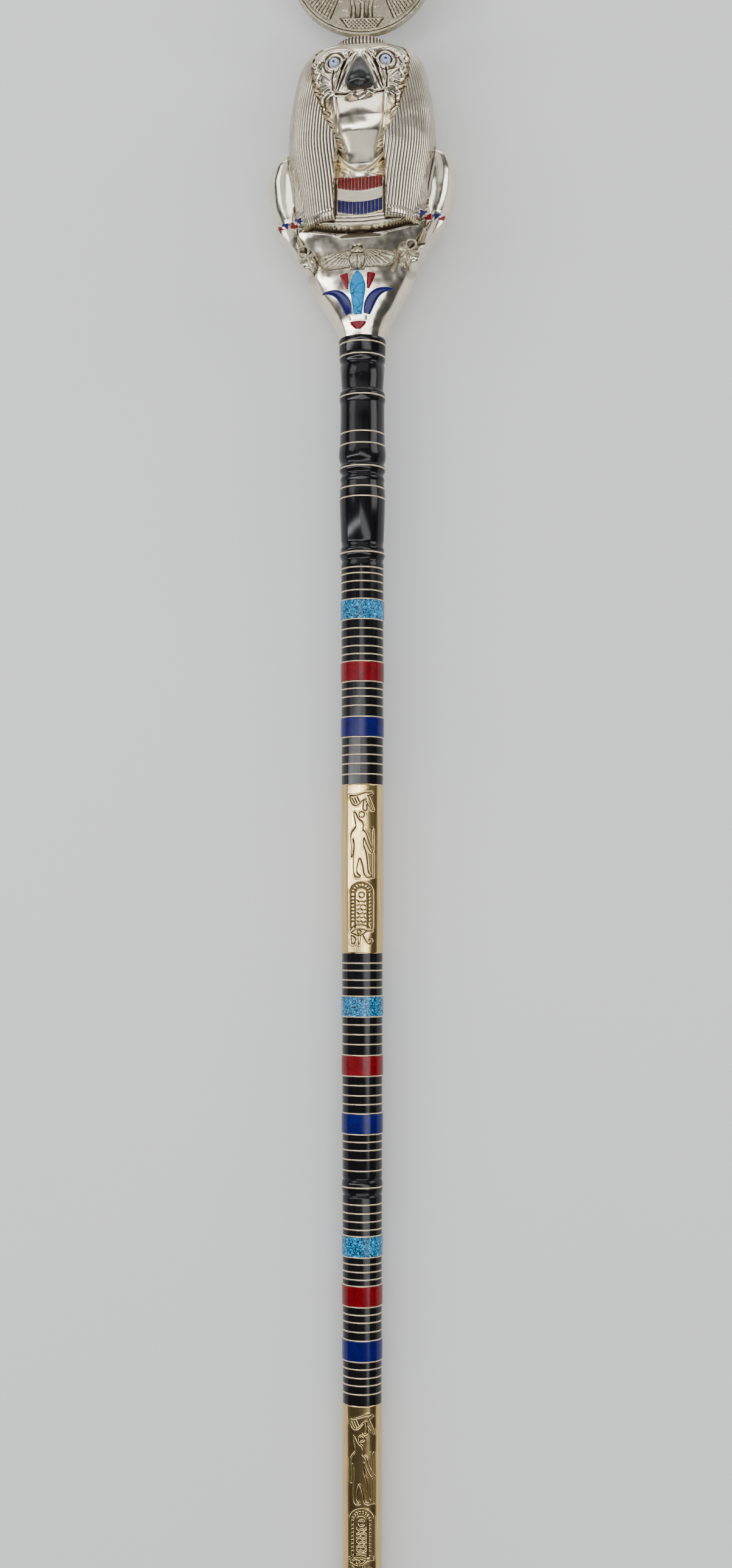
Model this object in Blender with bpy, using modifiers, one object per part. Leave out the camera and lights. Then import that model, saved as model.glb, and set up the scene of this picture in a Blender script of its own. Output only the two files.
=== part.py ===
"""A ceremonial sceptre: an ebony shaft with inlaid bands and brass sleeves, a falcon-headed bust and a sun disc.

It is modelled standing, foot at the origin and head up, with its front towards -Y, and is then laid on its back.
All sizes are in metres. The bust's carving is written in millimetres of a bust at its real height.
"""

import math

import bmesh
import bpy
import numpy as np
from mathutils import Matrix, Vector

# Driving dimensions of the shaft, from the foot upwards
shaft_height = 0.7457
handle_height = 0.6180
handle_radius = 0.0130
shaft_top_radius = 0.0118
shaft_foot_radius = 0.0099
ferrule_height = 0.0300
ferrule_wall = 0.0016
shaft_sides = 12
disc_sides = 28

# Inlaid bands and brass sleeves on the shaft
band_length = 0.0104
band_seat_depth = 0.0010
band_proud = 0.0004
turquoise_places = (0.5935, 0.3772, 0.2495)
coral_places = (0.5592, 0.3455, 0.2234)
lapis_places = (0.5288, 0.3145, 0.1948)
sleeve_length = 0.0917
sleeve_wall = 0.0012
sleeve_proud = 0.0003
sleeve_places = (0.4516, 0.1207)

# Bust and disc
bust_height = 0.1695
wig_back = 0.0286
wig_flat = 0.0012
wig_flat_height = 0.1240
lean = 0.05
boss_height = 0.0055
boss_radius = 0.0048
disc_radius = 0.0404
disc_thickness = 0.0036
disc_rim_width = 0.0034
disc_rim_height = 0.0008
disc_relief = 0.0009
disc_depth = 0.0050
disc_in_boss = 0.0018
wing_ribs = 5

# Inlays and ornaments of the bust
inlay_proud = 0.0005
inlay_depth = 0.0011
eye_radius = 0.0027
beak_reach = 0.0085
beak_width = 0.0160
scarab_span = 0.0460
scarab_height = 0.0150
scarab_thickness = 0.0016
ankh_length = 0.0165
ankh_bar = 0.0015

clearance = 0.0003
seat_opening = 0.0020

# One millimetre of the bust at its real height: the carving below is written in these
unit = bust_height / 169.5


def clear_scene():
    for obj in list(bpy.data.objects):
        bpy.data.objects.remove(obj, do_unlink=True)


def material(name, colour, roughness, metallic):
    made = bpy.data.materials.new(name)
    made.use_nodes = True
    shader = made.node_tree.nodes["Principled BSDF"]
    shader.inputs["Base Color"].default_value = (*colour, 1)
    shader.inputs["Roughness"].default_value = roughness
    shader.inputs["Metallic"].default_value = metallic
    return made


def collection(name, hidden=False):
    made = bpy.data.collections.new(name)
    bpy.context.scene.collection.children.link(made)
    made.hide_render = hidden
    return made


clear_scene()
parts = collection("sceptre")
cutters = collection("seat_cutters", hidden=True)
resting = bpy.data.objects.new("resting_pose", None)
parts.objects.link(resting)

white_metal = material("white_metal", (0.72, 0.68, 0.58), 0.22, 1.0)
old_silver = material("old_silver", (0.55, 0.52, 0.42), 0.35, 1.0)
brass = material("brass", (0.86, 0.62, 0.22), 0.28, 1.0)
ebony = material("ebony", (0.018, 0.017, 0.020), 0.32, 0.0)
turquoise = material("turquoise", (0.02, 0.42, 0.62), 0.30, 0.0)
coral = material("coral", (0.45, 0.015, 0.02), 0.25, 0.0)
lapis = material("lapis", (0.01, 0.015, 0.25), 0.22, 0.0)
black_stone = material("black_stone", (0.01, 0.01, 0.01), 0.15, 0.0)
blue_glass = material("blue_glass", (0.42, 0.52, 0.78), 0.08, 0.0)


def add(name, mesh, stuff):
    """A new object under the resting pose, with its normals pointing out."""
    obj = bpy.data.objects.new(name, mesh)
    parts.objects.link(obj)
    obj.data.materials.append(stuff)
    obj.parent = resting
    return obj


def close_mesh(bm, name):
    """The finished mesh, facing out, in triangles so that a seat cut after it has the same faces."""
    bmesh.ops.triangulate(bm, faces=bm.faces)
    bmesh.ops.recalc_face_normals(bm, faces=bm.faces)
    if bm.calc_volume(signed=True) < 0:
        bmesh.ops.reverse_faces(bm, faces=bm.faces)
    mesh = bpy.data.meshes.new(name)
    bm.to_mesh(mesh)
    bm.free()
    return mesh


def turned(name, profile, stuff, closed=False, sides=shaft_sides):
    """A profile of (radius, height) points, listed from the top down, swept round the upright axis."""
    mesh = bpy.data.meshes.new(name)
    points = [(radius, 0, height) for radius, height in profile]
    edges = [(i, i + 1) for i in range(len(points) - 1)]
    if closed:
        edges.append((len(points) - 1, 0))
    mesh.from_pydata(points, edges, [])
    obj = add(name, mesh, stuff)
    screw = obj.modifiers.new("turn", "SCREW")
    screw.axis = "Z"
    screw.steps = sides
    screw.render_steps = sides
    screw.use_merge_vertices = True
    screw.merge_threshold = 0.0000001
    # Half a facet, so that a flat side faces straight back
    obj.rotation_euler.z = math.pi / 2 + math.pi / sides
    return obj


# The shaft


def shaft_radius(height):
    share = height / handle_height
    return shaft_foot_radius + (shaft_top_radius - shaft_foot_radius) * share


def seat(place, length, depth):
    """The four corners of a recess for a band or sleeve, from the top down."""
    top, bottom = place + length / 2, place - length / 2
    return [
        (shaft_radius(top), top),
        (shaft_radius(top) - depth, top),
        (shaft_radius(bottom) - depth, bottom),
        (shaft_radius(bottom), bottom),
    ]


def handle_profile():
    """The turned handle from the bust down, as shares of its own length and radius."""
    shares = (
        (1.025, 0.0), (1.025, 0.016), (0.99, 0.024), (0.99, 0.118), (0.94, 0.124), (0.89, 0.236),
        (0.98, 0.246), (0.98, 0.276), (0.95, 0.286), (0.95, 0.416), (0.97, 0.468), (1.01, 0.490),
        (1.01, 0.515), (0.93, 0.548), (0.98, 0.560), (0.98, 0.582), (0.91, 0.592), (0.97, 0.665),
        (0.98, 0.702), (0.90, 0.896), (0.97, 0.930), (0.97, 0.950), (0.895, 0.964), (0.895, 0.985),
    )
    length = shaft_height - handle_height
    return [(radius * handle_radius, shaft_height - share * length) for radius, share in shares]


def make_shaft():
    seats = [(place, band_length, band_seat_depth) for place in turquoise_places + coral_places + lapis_places]
    seats += [(place, sleeve_length, sleeve_wall) for place in sleeve_places]
    profile = [(0, shaft_height)] + handle_profile() + [(shaft_top_radius, handle_height)]
    for place, length, depth in sorted(seats, reverse=True):
        profile += seat(place, length + 2 * clearance, depth)
    cap_radius = shaft_radius(ferrule_height) - ferrule_wall
    profile += [
        (shaft_radius(ferrule_height), ferrule_height + clearance),
        (cap_radius, ferrule_height + clearance),
        (cap_radius, ferrule_wall + clearance),
        (0, ferrule_wall + clearance),
    ]
    turned("ebony_shaft", profile, ebony)


def tube(name, place, length, depth, proud, stuff):
    """A band or sleeve that fills its seat and stands a little proud."""
    top, bottom = place + length / 2, place - length / 2
    inside = clearance - depth
    profile = [
        (shaft_radius(top) + inside, top),
        (shaft_radius(top) + proud, top),
        (shaft_radius(bottom) + proud, bottom),
        (shaft_radius(bottom) + inside, bottom),
    ]
    turned(name, profile, stuff, closed=True)


def make_bands():
    for stone, stuff, places in (
        ("turquoise", turquoise, turquoise_places),
        ("coral", coral, coral_places),
        ("lapis", lapis, lapis_places),
    ):
        for number, place in enumerate(places, 1):
            tube(f"{stone}_band_{number}", place, band_length, band_seat_depth, band_proud, stuff)
    for name, place in zip(("upper_sleeve", "lower_sleeve"), sleeve_places):
        tube(name, place, sleeve_length, sleeve_wall, sleeve_proud, brass)


def make_ferrule():
    outer = shaft_radius(ferrule_height) + band_proud
    inner = shaft_radius(ferrule_height) - ferrule_wall + clearance
    lip = ferrule_height / 7
    profile = [
        (inner, ferrule_height),
        (outer, ferrule_height),
        (outer, ferrule_height - lip),
        (outer - lip / 8, ferrule_height - lip * 1.2),
        (outer - lip / 8, ferrule_height - lip * 1.6),
        (outer, ferrule_height - lip * 1.8),
        (outer, lip / 3),
        (outer - lip / 3, 0),
        (0, 0),
        (0, ferrule_wall),
        (inner, ferrule_wall),
    ]
    turned("foot_ferrule", profile, brass, closed=True)


# The bust


def smooth(low, high, value):
    """Rises from 0 at low to 1 at high."""
    share = np.clip((value - low) / (high - low), 0, 1)
    return share * share * (3 - 2 * share)


def along(points, value):
    """A smooth line through a few (place, size) points, with no overshoot."""
    place, size = np.array(points, float).T
    slope = np.diff(size) / np.diff(place)
    bend = np.zeros(len(place))
    both = slope[:-1] * slope[1:]
    total = np.where(slope[:-1] + slope[1:] == 0, 1, slope[:-1] + slope[1:])
    bend[1:-1] = np.where(both > 0, 2 * both / total, 0)
    bend[0], bend[-1] = slope[0], slope[-1]
    value = np.clip(value, place[0], place[-1])
    i = np.clip(np.searchsorted(place, value, side="right") - 1, 0, len(slope) - 1)
    width = place[i + 1] - place[i]
    t = (value - place[i]) / width
    start = size[i] * (1 + 2 * t) * (1 - t) ** 2 + width * bend[i] * t * (1 - t) ** 2
    end = size[i + 1] * t * t * (3 - 2 * t) - width * bend[i + 1] * t * t * (1 - t)
    return start + end


def dome(x, half_width, depth, power):
    """The depth of a rounded section at x, from its full depth in the middle to nothing at its half width."""
    share = np.clip(np.abs(x) / half_width, 0, 1)
    return depth * (1 - share**power) ** (1 / power)


def blended(a, b, fillet=0.6):
    return (a + b + np.sqrt((a - b) ** 2 + fillet**2)) / 2


# The bust's lines, each a half width or a depth against the height above its rim
rim = 0.99 * handle_radius / unit
body_line = ((0, rim), (6, 14.8), (16, 20.6), (31, 28.7), (46, 35.4), (54, 40.5), (60, 45.2), (66, 48.3),
             (78, 51.9), (90, 53.0), (98, 51.2), (103, 47.5), (107, 40.0), (112, 25.0))
wig_line = ((58, 34.5), (80, 37.5), (108, 41.4), (121, 40.9), (134, 39.3), (144, 37.4), (151, 35.6),
            (156, 33.2), (161, 28.5), (165, 22.5))
wig_depth = ((58, 38), (100, 37.5), (115, 36.5), (129, 35), (140, 33.5), (150, 31), (156, 28), (161, 21.4),
             (165, 15.3))
face_line = ((58, 13.9), (90, 13.6), (97, 12.6), (103, 13.2), (115, 19), (129, 23.5), (138, 26), (148, 26.5),
             (157, 24), (165, 14))
face_depth = ((80, 29.5), (86, 28.5), (92, 26), (100, 24.3), (110, 24), (118, 26.5), (124, 31), (128, 34.5),
              (133, 35.5), (140, 35), (147, 33.5), (153, 31), (157, 28))
face_width = ((86, 19), (95, 18), (103, 19), (115, 25), (129, 30), (140, 32), (150, 32), (157, 30))
belly_depth = ((0, rim), (5, 14.2), (15, 17), (31, 20), (46, 21.5), (60, 22), (100, 20), (112, 14), (119, 1))
chest_depth = ((54, 31), (58, 30.5), (65, 30), (75, 29.5), (86, 29), (95, 26), (105, 20), (117, 1))
back_depth = ((0, rim), (6, 13.8), (20, 17), (46, 21), (66, 22), (95, 24), (112, 20), (125, 4))
wig_back_share = ((66, 0.88), (90, 0.96), (112, 1), (134, 1), (146, 0.93), (156, 0.79), (161, 0.66), (165, 0.57))
lappet_end = 58.5
wig_back_end = 66.0
brow_height = 157.0
band_height = 4.0
dome_top = 165.0
crown_radius = 15.5
chest_end = 54.4
arm_radius = 8.8
armlet_height = 62.5
beak_top = 147.6
beak_tip = 127.5
beak_rows = (0, 0.16, 0.36, 0.58, 0.78, 0.92, 1)
beak_half = ((0, 0.14), (0.2, 0.46), (0.5, 0.80), (0.74, 1.0), (0.9, 0.86), (1, 0.34))
beak_out = ((0, 0.14), (0.3, 0.60), (0.6, 0.94), (0.8, 1.0), (1, 0.70))
eye_side = 14.2
eye_height = 146.0
strip_half_width = 12.4
lappet_edge = 0.45
# Columns of the bust's front to the edge of the chest, across a lappet and on to the silhouette, and of its back
middle_columns, lappet_columns, side_columns, back_columns = 4, 6, 3, 8
belly_shift = -1.8
strip_flutes = 11
# The armlets' wedges, as shares of the arm's radius from its middle, but for their height
armlet_tiles = 4
tile_start = 0.86
tile_step = 0.44
tile_half = 0.23
tile_point = 0.03
tile_edge = 0.985
tile_tall = 1.7


def half_width(h):
    wig = np.where(h > lappet_end, along(wig_line, h), 0)
    body = np.where(h < body_line[-1][0], along(body_line, h), 0)
    return np.maximum(wig, body)


def section_power(h):
    return 2 + 0.5 * smooth(0, 25, h)


def capsule(x, h, start, end):
    """The depth of a limb's front between two (x, height, depth, radius) ends."""
    (x0, h0, z0, r0), (x1, h1, z1, r1) = start, end
    length = (x1 - x0) ** 2 + (h1 - h0) ** 2
    t = np.clip(((x - x0) * (x1 - x0) + (h - h0) * (h1 - h0)) / length, 0, 1)
    away = (x - x0 - t * (x1 - x0)) ** 2 + (h - h0 - t * (h1 - h0)) ** 2
    radius = r0 + t * (r1 - r0)
    return np.where(away < radius**2, z0 + t * (z1 - z0) + np.sqrt(np.clip(radius**2 - away, 0, None)), 0)


def arm_front(side, width, h):
    across = (side - width + arm_radius) / arm_radius
    arm = 15 * np.sqrt(np.clip(1 - across**2, 0, 1)) * smooth(57, 61, h) * (1 - smooth(99, 112, h))
    armlet = smooth(-2.6, -2.2, h - armlet_height) - smooth(2.2, 2.6, h - armlet_height)
    return np.where(arm > 3, arm + 0.8 * armlet, arm)


def body_front(x, h):
    side, width = np.abs(x), half_width(h)
    depth = dome(x, np.minimum(width, along(body_line, h)), along(belly_depth, h), section_power(h))
    chest = dome(x, 42.0, along(chest_depth, h), 2.4)
    above = h - chest_end - 0.006 * x * x
    ridges = 0.7 * np.abs(np.sin(above * math.pi / 2.2)) * (1 - smooth(5, 6.5, above))
    depth = depth + smooth(-0.3, 0.3, above) * np.maximum(chest + ridges - depth, 0)
    forearm = capsule(side, h, (40.5, 61, 8.5, 7.0), (34.5, 43, 15.0, 5.2))
    hand = capsule(side, h, (33.5, 42, 16.0, 5.0), (29.5, 39.5, 17.5, 4.8))
    return np.maximum(blended(depth, arm_front(side, width, h)), np.maximum(forearm, hand))


def face_front(x, h):
    depth = dome(x, along(face_width, h), along(face_depth, h), 2.6)
    ring = 1.6 * np.exp(-(((h - 84 - 13 * (x / 12.5) ** 2) / 2.0) ** 2)) * (np.abs(x) < 13.5)
    from_eye = np.hypot(np.abs(x) - eye_side, h - eye_height)
    socket = 0.9 * np.exp(-(((from_eye - 4.2) / 1.1) ** 2))
    brow = 1.5 * np.exp(-(((h - 152.5 + 0.02 * (np.abs(x) - 14) ** 2) / 1.6) ** 2)) * smooth(4, 8, np.abs(x))
    mandible = capsule(x, h, (-4, 127.5, 34, 3.6), (4, 127.5, 34, 3.6))
    return np.maximum(depth + ring + socket + brow, mandible)


def wig_mask(x, h):
    """1 where the wig covers the body, 0 on the face, chest, arms and belly."""
    side = np.abs(x)
    inside = np.maximum(smooth(-0.4, 0.4, side - along(face_line, h)), smooth(-0.3, 0.3, h - brow_height))
    outside = np.maximum(smooth(-0.4, 0.4, along(wig_line, h) - side), smooth(106, 108, h))
    return inside * outside * smooth(-0.3, 0.3, h - lappet_end)


def wig_locks(x, h):
    """Broad locks that run up each lappet and fade out over the brow."""
    inner, outer = along(face_line, h) + lappet_edge, along(wig_line, h) - lappet_edge
    share = np.clip((np.abs(x) - inner) / (outer - inner), 0, 1)
    return -0.4 * np.cos(math.pi * lappet_columns * share) * (1 - smooth(135, 150, h))


def front_depth(x, h):
    """How far the bust's front stands before the axis."""
    x, h = np.asarray(x, float), np.asarray(h, float)
    body = body_front(x, h)
    under_brow = 1 - smooth(brow_height - 0.4, brow_height + 0.4, h)
    on_face = (1 - smooth(-0.4, 0.4, np.abs(x) - along(face_line, h))) * smooth(80, 86, h) * under_brow
    body = body + on_face * (face_front(x, h) - body)
    wig = dome(x, along(wig_line, h), along(wig_depth, h), 2.4)
    wig = wig + wig_locks(x, h)
    band = smooth(-0.3, 0.3, h - brow_height) * (1 - smooth(-0.3, 0.3, h - brow_height - band_height))
    wig = wig + band * (np.abs(x) < 27)
    return body + wig_mask(x, h) * np.maximum(wig - body, 0)


def ferrule_reach():
    """How far the foot's lowest facet lies from the axis."""
    return (shaft_radius(ferrule_height) + band_proud) * math.cos(math.pi / shaft_sides)


def floor_slope():
    """How much the floor falls away from the axis for each metre from the foot towards the flat on the wig."""
    reach = wig_back - wig_flat
    return (reach - ferrule_reach()) / (shaft_height + clearance + wig_flat_height)


def back_depth_at(x, h):
    """How far the bust's back stands behind the axis, cut flat where it lies on the floor."""
    depth = dome(x, half_width(h), along(back_depth, h), section_power(h))
    wig = dome(x, half_width(h), along(wig_back_share, h) * wig_back / unit, 2.4)
    depth = depth + smooth(-0.3, 0.3, h - wig_back_end) * np.maximum(wig - depth, 0)
    height = shaft_height + clearance + h * unit
    return np.minimum(depth, (ferrule_reach() + floor_slope() * height) / unit)


def bust_point(x, h, depth):
    """A point of the bust in metres, from its place in the carving's millimetres."""
    lifted = h + lean * x * smooth(0, 40, h) * (1 - 0.7 * smooth(150, 166, h))
    return np.stack(np.broadcast_arrays(x * unit, -depth * unit, shaft_height + clearance + lifted * unit), -1)


bust_rows = (0, 7, 16, 26, 36, 45, 53.5, 54.9, 58.1, 58.9, 60.3, 64.7, 69, 75, 81, 86, 92, 98, 103, 108, 113, 120,
             124.5, 127.5, 131, 137, 143, 149, 154, 156.7, 157.3, 160.7, 161.3, 163.3, dome_top)


def front_columns(h):
    """The x of every column of one row, from the left silhouette to the right one."""
    width = float(half_width(np.array(h)))
    inner = min(float(along(face_line, np.array(h))), 0.75 * width)
    outer = min(float(along(wig_line, np.array(h))), 0.93 * width)
    inner, outer = min(inner, 0.8 * outer), outer
    middle = np.linspace(0, inner - lappet_edge, middle_columns + 1)
    lappet = np.linspace(inner + lappet_edge, outer - lappet_edge, lappet_columns + 1)
    turn = np.sin(np.linspace(0, math.pi / 2, side_columns + 1))
    side = outer + lappet_edge / 2 + (width - outer - lappet_edge / 2) * turn
    right = np.concatenate([middle, lappet, side])
    return np.concatenate([-right[:0:-1], right])


def bust_ring(h):
    """One row of the bust, anticlockwise from above: back from right to left, then front from left to right."""
    front = front_columns(h)
    turn = np.linspace(0, math.pi, back_columns + 2)[1:-1]
    back = float(half_width(np.array(h))) * np.cos(turn)
    row = np.full(len(front), h)
    depths = front_depth(front, row)
    behind = -back_depth_at(back, np.full(len(back), h))
    return np.concatenate([bust_point(back, h, behind), bust_point(front, h, depths)])


def crown_ring(h, radius):
    """One row of the round crown, with as many points as the rows of the bust."""
    front = front_columns(dome_top) / float(half_width(np.array(dome_top))) * radius
    turn = np.linspace(0, math.pi, back_columns + 2)[1:-1]
    back = radius * np.cos(turn)
    depths = np.sqrt(np.clip(radius**2 - front**2, 0, None))
    behind = -np.sqrt(np.clip(radius**2 - back**2, 0, None))
    return np.concatenate([bust_point(back, h, behind), bust_point(front, h, depths)])


def loft(name, rings, stuff):
    """A closed skin over rings of points, with flat ends."""
    bm = bmesh.new()
    rows = [[bm.verts.new(point) for point in ring] for ring in rings]
    for low, high in zip(rows, rows[1:]):
        for i in range(len(low)):
            bm.faces.new((low[i - 1], low[i], high[i], high[i - 1]))
    bm.faces.new(rows[0])
    bm.faces.new(rows[-1])
    return add(name, close_mesh(bm, name), stuff)


def make_bust():
    top = bust_height / unit
    boss_top = top + boss_height / unit
    rings = [bust_ring(h) for h in bust_rows]
    rings += [
        crown_ring(dome_top + 0.3, crown_radius),
        crown_ring(top - 0.4, crown_radius),
        crown_ring(top, crown_radius - 0.5),
        crown_ring(top + 0.2, boss_radius / unit),
        crown_ring(boss_top, boss_radius / unit * 0.9),
    ]
    return loft("falcon_bust", rings, white_metal)


def cut_seats(bust):
    for cutter in cutters.objects:
        cut = bust.modifiers.new(cutter.name, "BOOLEAN")
        cut.object = cutter
        cut.operation = "DIFFERENCE"
        cut.solver = "EXACT"


def cutter(name, mesh, stand):
    obj = bpy.data.objects.new(name, mesh)
    cutters.objects.link(obj)
    obj.parent = resting
    obj.matrix_local = stand
    obj.display_type = "WIRE"
    obj.hide_render = True


def seat_for(obj, gap=clearance):
    """A cutter like the piece but larger all round by the gap and open to the front, so that the bust keeps clear."""
    bm = bmesh.new()
    bm.from_mesh(obj.data)
    bm.normal_update()
    moves = [vert.normal * gap * min(vert.calc_shell_factor(), 2.0) for vert in bm.verts]
    for vert, move in zip(bm.verts, moves):
        opened = seat_opening if vert.normal.y < -0.15 else 0
        vert.co += move + Vector((0, -opened, 0))
    mesh = bpy.data.meshes.new(obj.name + "_seat")
    bm.to_mesh(mesh)
    bm.free()
    cutter(mesh.name, mesh, obj.matrix_local)


# Inlays


def inlay(name, left, right, stuff, crown=0.0):
    """A strip let into the bust between two edges, each a list of (x, height), with a crown across it."""
    rings = []
    share = np.linspace(0, 1, 3)
    for start, end in zip(left, right):
        x = start[0] + (end[0] - start[0]) * share
        h = start[1] + (end[1] - start[1]) * share
        surface = front_depth(x, h)
        top = bust_point(x, h, surface + inlay_proud / unit + crown * np.sin(share * math.pi))
        under = bust_point(x, h, surface - inlay_depth / unit)[[2, 0]]
        rings.append(np.concatenate([top, under]))
    seat_for(loft(name, rings, stuff))


def collar_strip(low, high, across, room=0.0, opening=0.0):
    """Rings of a strip that arches across the chest; with more than a few columns it is fluted."""
    rings = []
    share = np.linspace(-1, 1, across)
    under_share = np.linspace(-1, 1, 5)
    fluted = across > len(under_share)
    for h in (low - room, (low + high) / 2, high + room):
        rise = 0.55 * (np.arange(across) % 2) * (low < h < high) * fluted
        x, height = share * (strip_half_width + room), h + 2.2 * share * share
        top = front_depth(x, height) + inlay_proud / unit + rise + opening
        x_under, h_under = under_share * (strip_half_width + room), h + 2.2 * under_share**2
        under = front_depth(x_under, h_under) - inlay_depth / unit - room
        rings.append(np.concatenate([bust_point(x, height, top), bust_point(x_under, h_under, under)[::-1]]))
    return rings


def make_collar():
    for name, stuff, low, high in (
        ("collar_coral_inlay", coral, 74.6, 81.6),
        ("collar_lapis_inlay", lapis, 61.0, 68.0),
    ):
        loft(name, collar_strip(low, high, 2 * strip_flutes + 1), stuff)
        seat = loft(name + "_seat", collar_strip(low, high, 5, clearance / unit, seat_opening / unit), stuff)
        cutter(seat.name, seat.data, seat.matrix_local)
        bpy.data.objects.remove(seat)


def make_armlets():
    """Four wedges a side, turned up and down in turn round the front of the arm."""
    for side, word in ((-1, "left"), (1, "right")):
        for number in range(armlet_tiles):
            upward = number % 2
            middle = tile_start - tile_step * number
            rings = []
            for h, half in ((armlet_height - tile_tall, tile_half), (armlet_height + tile_tall, tile_point)):
                if upward:
                    half = tile_half + tile_point - half
                outer = float(half_width(np.array(h)))
                places = np.clip([middle - half, middle + half], -1, tile_edge)
                x = side * (outer - arm_radius * (1 - places))
                surface = front_depth(x, np.full(2, h))
                top = bust_point(x, h, surface + inlay_proud / unit)
                under = bust_point(x, h, surface - inlay_depth / unit)
                rings.append(np.concatenate([top, under[::-1]]))
            seat_for(loft(f"{word}_armlet_tile_{number + 1}", rings, lapis if upward else coral))


def petal(name, spine, widths, stuff, crown=0.9):
    """A crowned petal let into the belly, along a spine of (x, height) with half widths square to it."""
    spine = np.array(spine, float)
    heading = np.gradient(spine, axis=0)
    heading /= np.linalg.norm(heading, axis=1)[:, None]
    sideways = np.stack([heading[:, 1], -heading[:, 0]], 1)
    widths = np.array(widths)[:, None]
    return inlay(name, spine - sideways * widths, spine + sideways * widths, stuff, crown)


def make_lotus():
    middle = belly_shift
    steps = np.linspace(0, 1, 7)
    spine = [(middle, 10.2 + 23.2 * t) for t in steps]
    widths = along(((0, 2.2), (0.3, 3.3), (0.62, 4.4), (0.85, 3.0), (1, 0.35)), steps)
    petal("lotus_turquoise_petal", spine, widths, turquoise)
    for side, word in ((-1, "left"), (1, "right")):
        spine = [(middle + side * (5.7 + 1.9 * t), 23.5 + 8.0 * t) for t in np.linspace(0, 1, 3)]
        petal(f"lotus_{word}_coral_petal", spine, (0.7, 1.7, 2.4), coral)
        bend = np.linspace(0, 1, 7)
        spine = [
            (middle + side * (4.9 + 4.3 * t + 10.6 * t**3), 10.4 + 18.0 * t - 5.0 * t**4) for t in bend
        ]
        petal(f"lotus_{word}_lapis_petal", spine, 0.25 + 2.6 * np.sin(np.pi * (0.2 + 0.8 * bend)), lapis)
    arc = np.linspace(0, 1, 4)
    spine = [(middle, 2.6 + 4.0 * t) for t in arc]
    petal("lotus_coral_base", spine, 1.2 + 3.3 * np.sin(arc * math.pi / 2), coral, crown=0.6)


# Face


def eye_ball(radius):
    bm = bmesh.new()
    bmesh.ops.create_uvsphere(bm, u_segments=8, v_segments=4, radius=radius)
    bmesh.ops.scale(bm, verts=bm.verts, vec=(1, 1, 0.62))
    return close_mesh(bm, "eye")


def make_eyes():
    for side, word in ((-1, "left"), (1, "right")):
        x, h = side * eye_side, eye_height
        step = 1.0
        here = front_depth(x, h)
        across = bust_point(x + step, h, front_depth(x + step, h)) - bust_point(x - step, h, front_depth(x - step, h))
        up = bust_point(x, h + step, front_depth(x, h + step)) - bust_point(x, h - step, front_depth(x, h - step))
        facing = Vector(across).cross(Vector(up)).normalized()
        turn = facing.to_track_quat("Z", "Y").to_matrix().to_4x4()
        stand = Matrix.Translation(Vector(bust_point(x, h, here + 0.25))) @ turn
        add(f"{word}_eye", eye_ball(eye_radius), blue_glass).matrix_local = stand
        cutter(f"{word}_eye_seat", eye_ball(eye_radius + clearance), stand)


def make_beak():
    """A hooked beak, narrow between the eyes and widest low down, lofted from its root to its tip."""
    rings = []
    turn = np.linspace(-math.pi / 2, math.pi / 2, 7)
    for share in beak_rows:
        h = beak_top - (beak_top - beak_tip) * share
        half = beak_width / unit / 2 * float(along(beak_half, share))
        reach = beak_reach / unit * float(along(beak_out, share))
        face = float(front_depth(0.0, max(h, beak_tip + 4)))
        front = face + reach * np.cos(turn) ** 0.8
        back = bust_point(np.array([half, -half]) * 0.9, h, face - 2.2)
        rings.append(np.concatenate([bust_point(half * np.sin(turn), h, front), back]))
    seat_for(loft("beak", rings, black_stone), 2 * clearance)


# Ornaments of the belly


def make_scarab():
    """A beetle between two drooping wings, lofted from wing tip to wing tip."""
    half = scarab_span / unit / 2
    tall = scarab_height / unit
    thick = scarab_thickness / unit
    rings = []
    for share in (-1, -0.9, -0.65, -0.35, -0.19, -0.17, -0.09, 0.09, 0.17, 0.19, 0.35, 0.65, 0.9, 1):
        side = abs(share)
        x = belly_shift + share * half
        body = side < 0.18
        if body:
            low, high, rise = -0.5 * tall, 0.5 * tall * math.cos(side * 4), thick + 1.6 * math.cos(side * 8)
        else:
            low = -0.42 * tall + 0.38 * tall * max(0, (side - 0.62) / 0.38) ** 2
            high = 0.24 * tall - 0.12 * tall * (side - 0.19) - 0.18 * tall * max(0, (side - 0.8) / 0.2) ** 2
            rise = thick
        if body and side > 0.15:
            low, high = -0.42 * tall, 0.24 * tall
        heights = 41.0 + np.linspace(low, high, 5)
        surface = np.array([float(front_depth(x, h)) for h in heights])
        crown = rise * np.array([0.5, 0.95, 1.1, 0.95, 0.5])
        top = bust_point(np.full(5, x), heights, surface + crown)
        under = bust_point(np.full(2, x), heights[[-1, 0]], surface[[-1, 0]] - 0.7)
        rings.append(np.concatenate([top, under]))
    obj = loft("winged_scarab", rings, old_silver)
    seat_for(obj)


def helper(name, mesh):
    """A shape that is only joined into another one."""
    piece = bpy.data.objects.new(name, mesh)
    helpers.objects.link(piece)
    piece.hide_render = True
    piece.display_type = "WIRE"
    piece.parent = resting
    return piece


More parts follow.
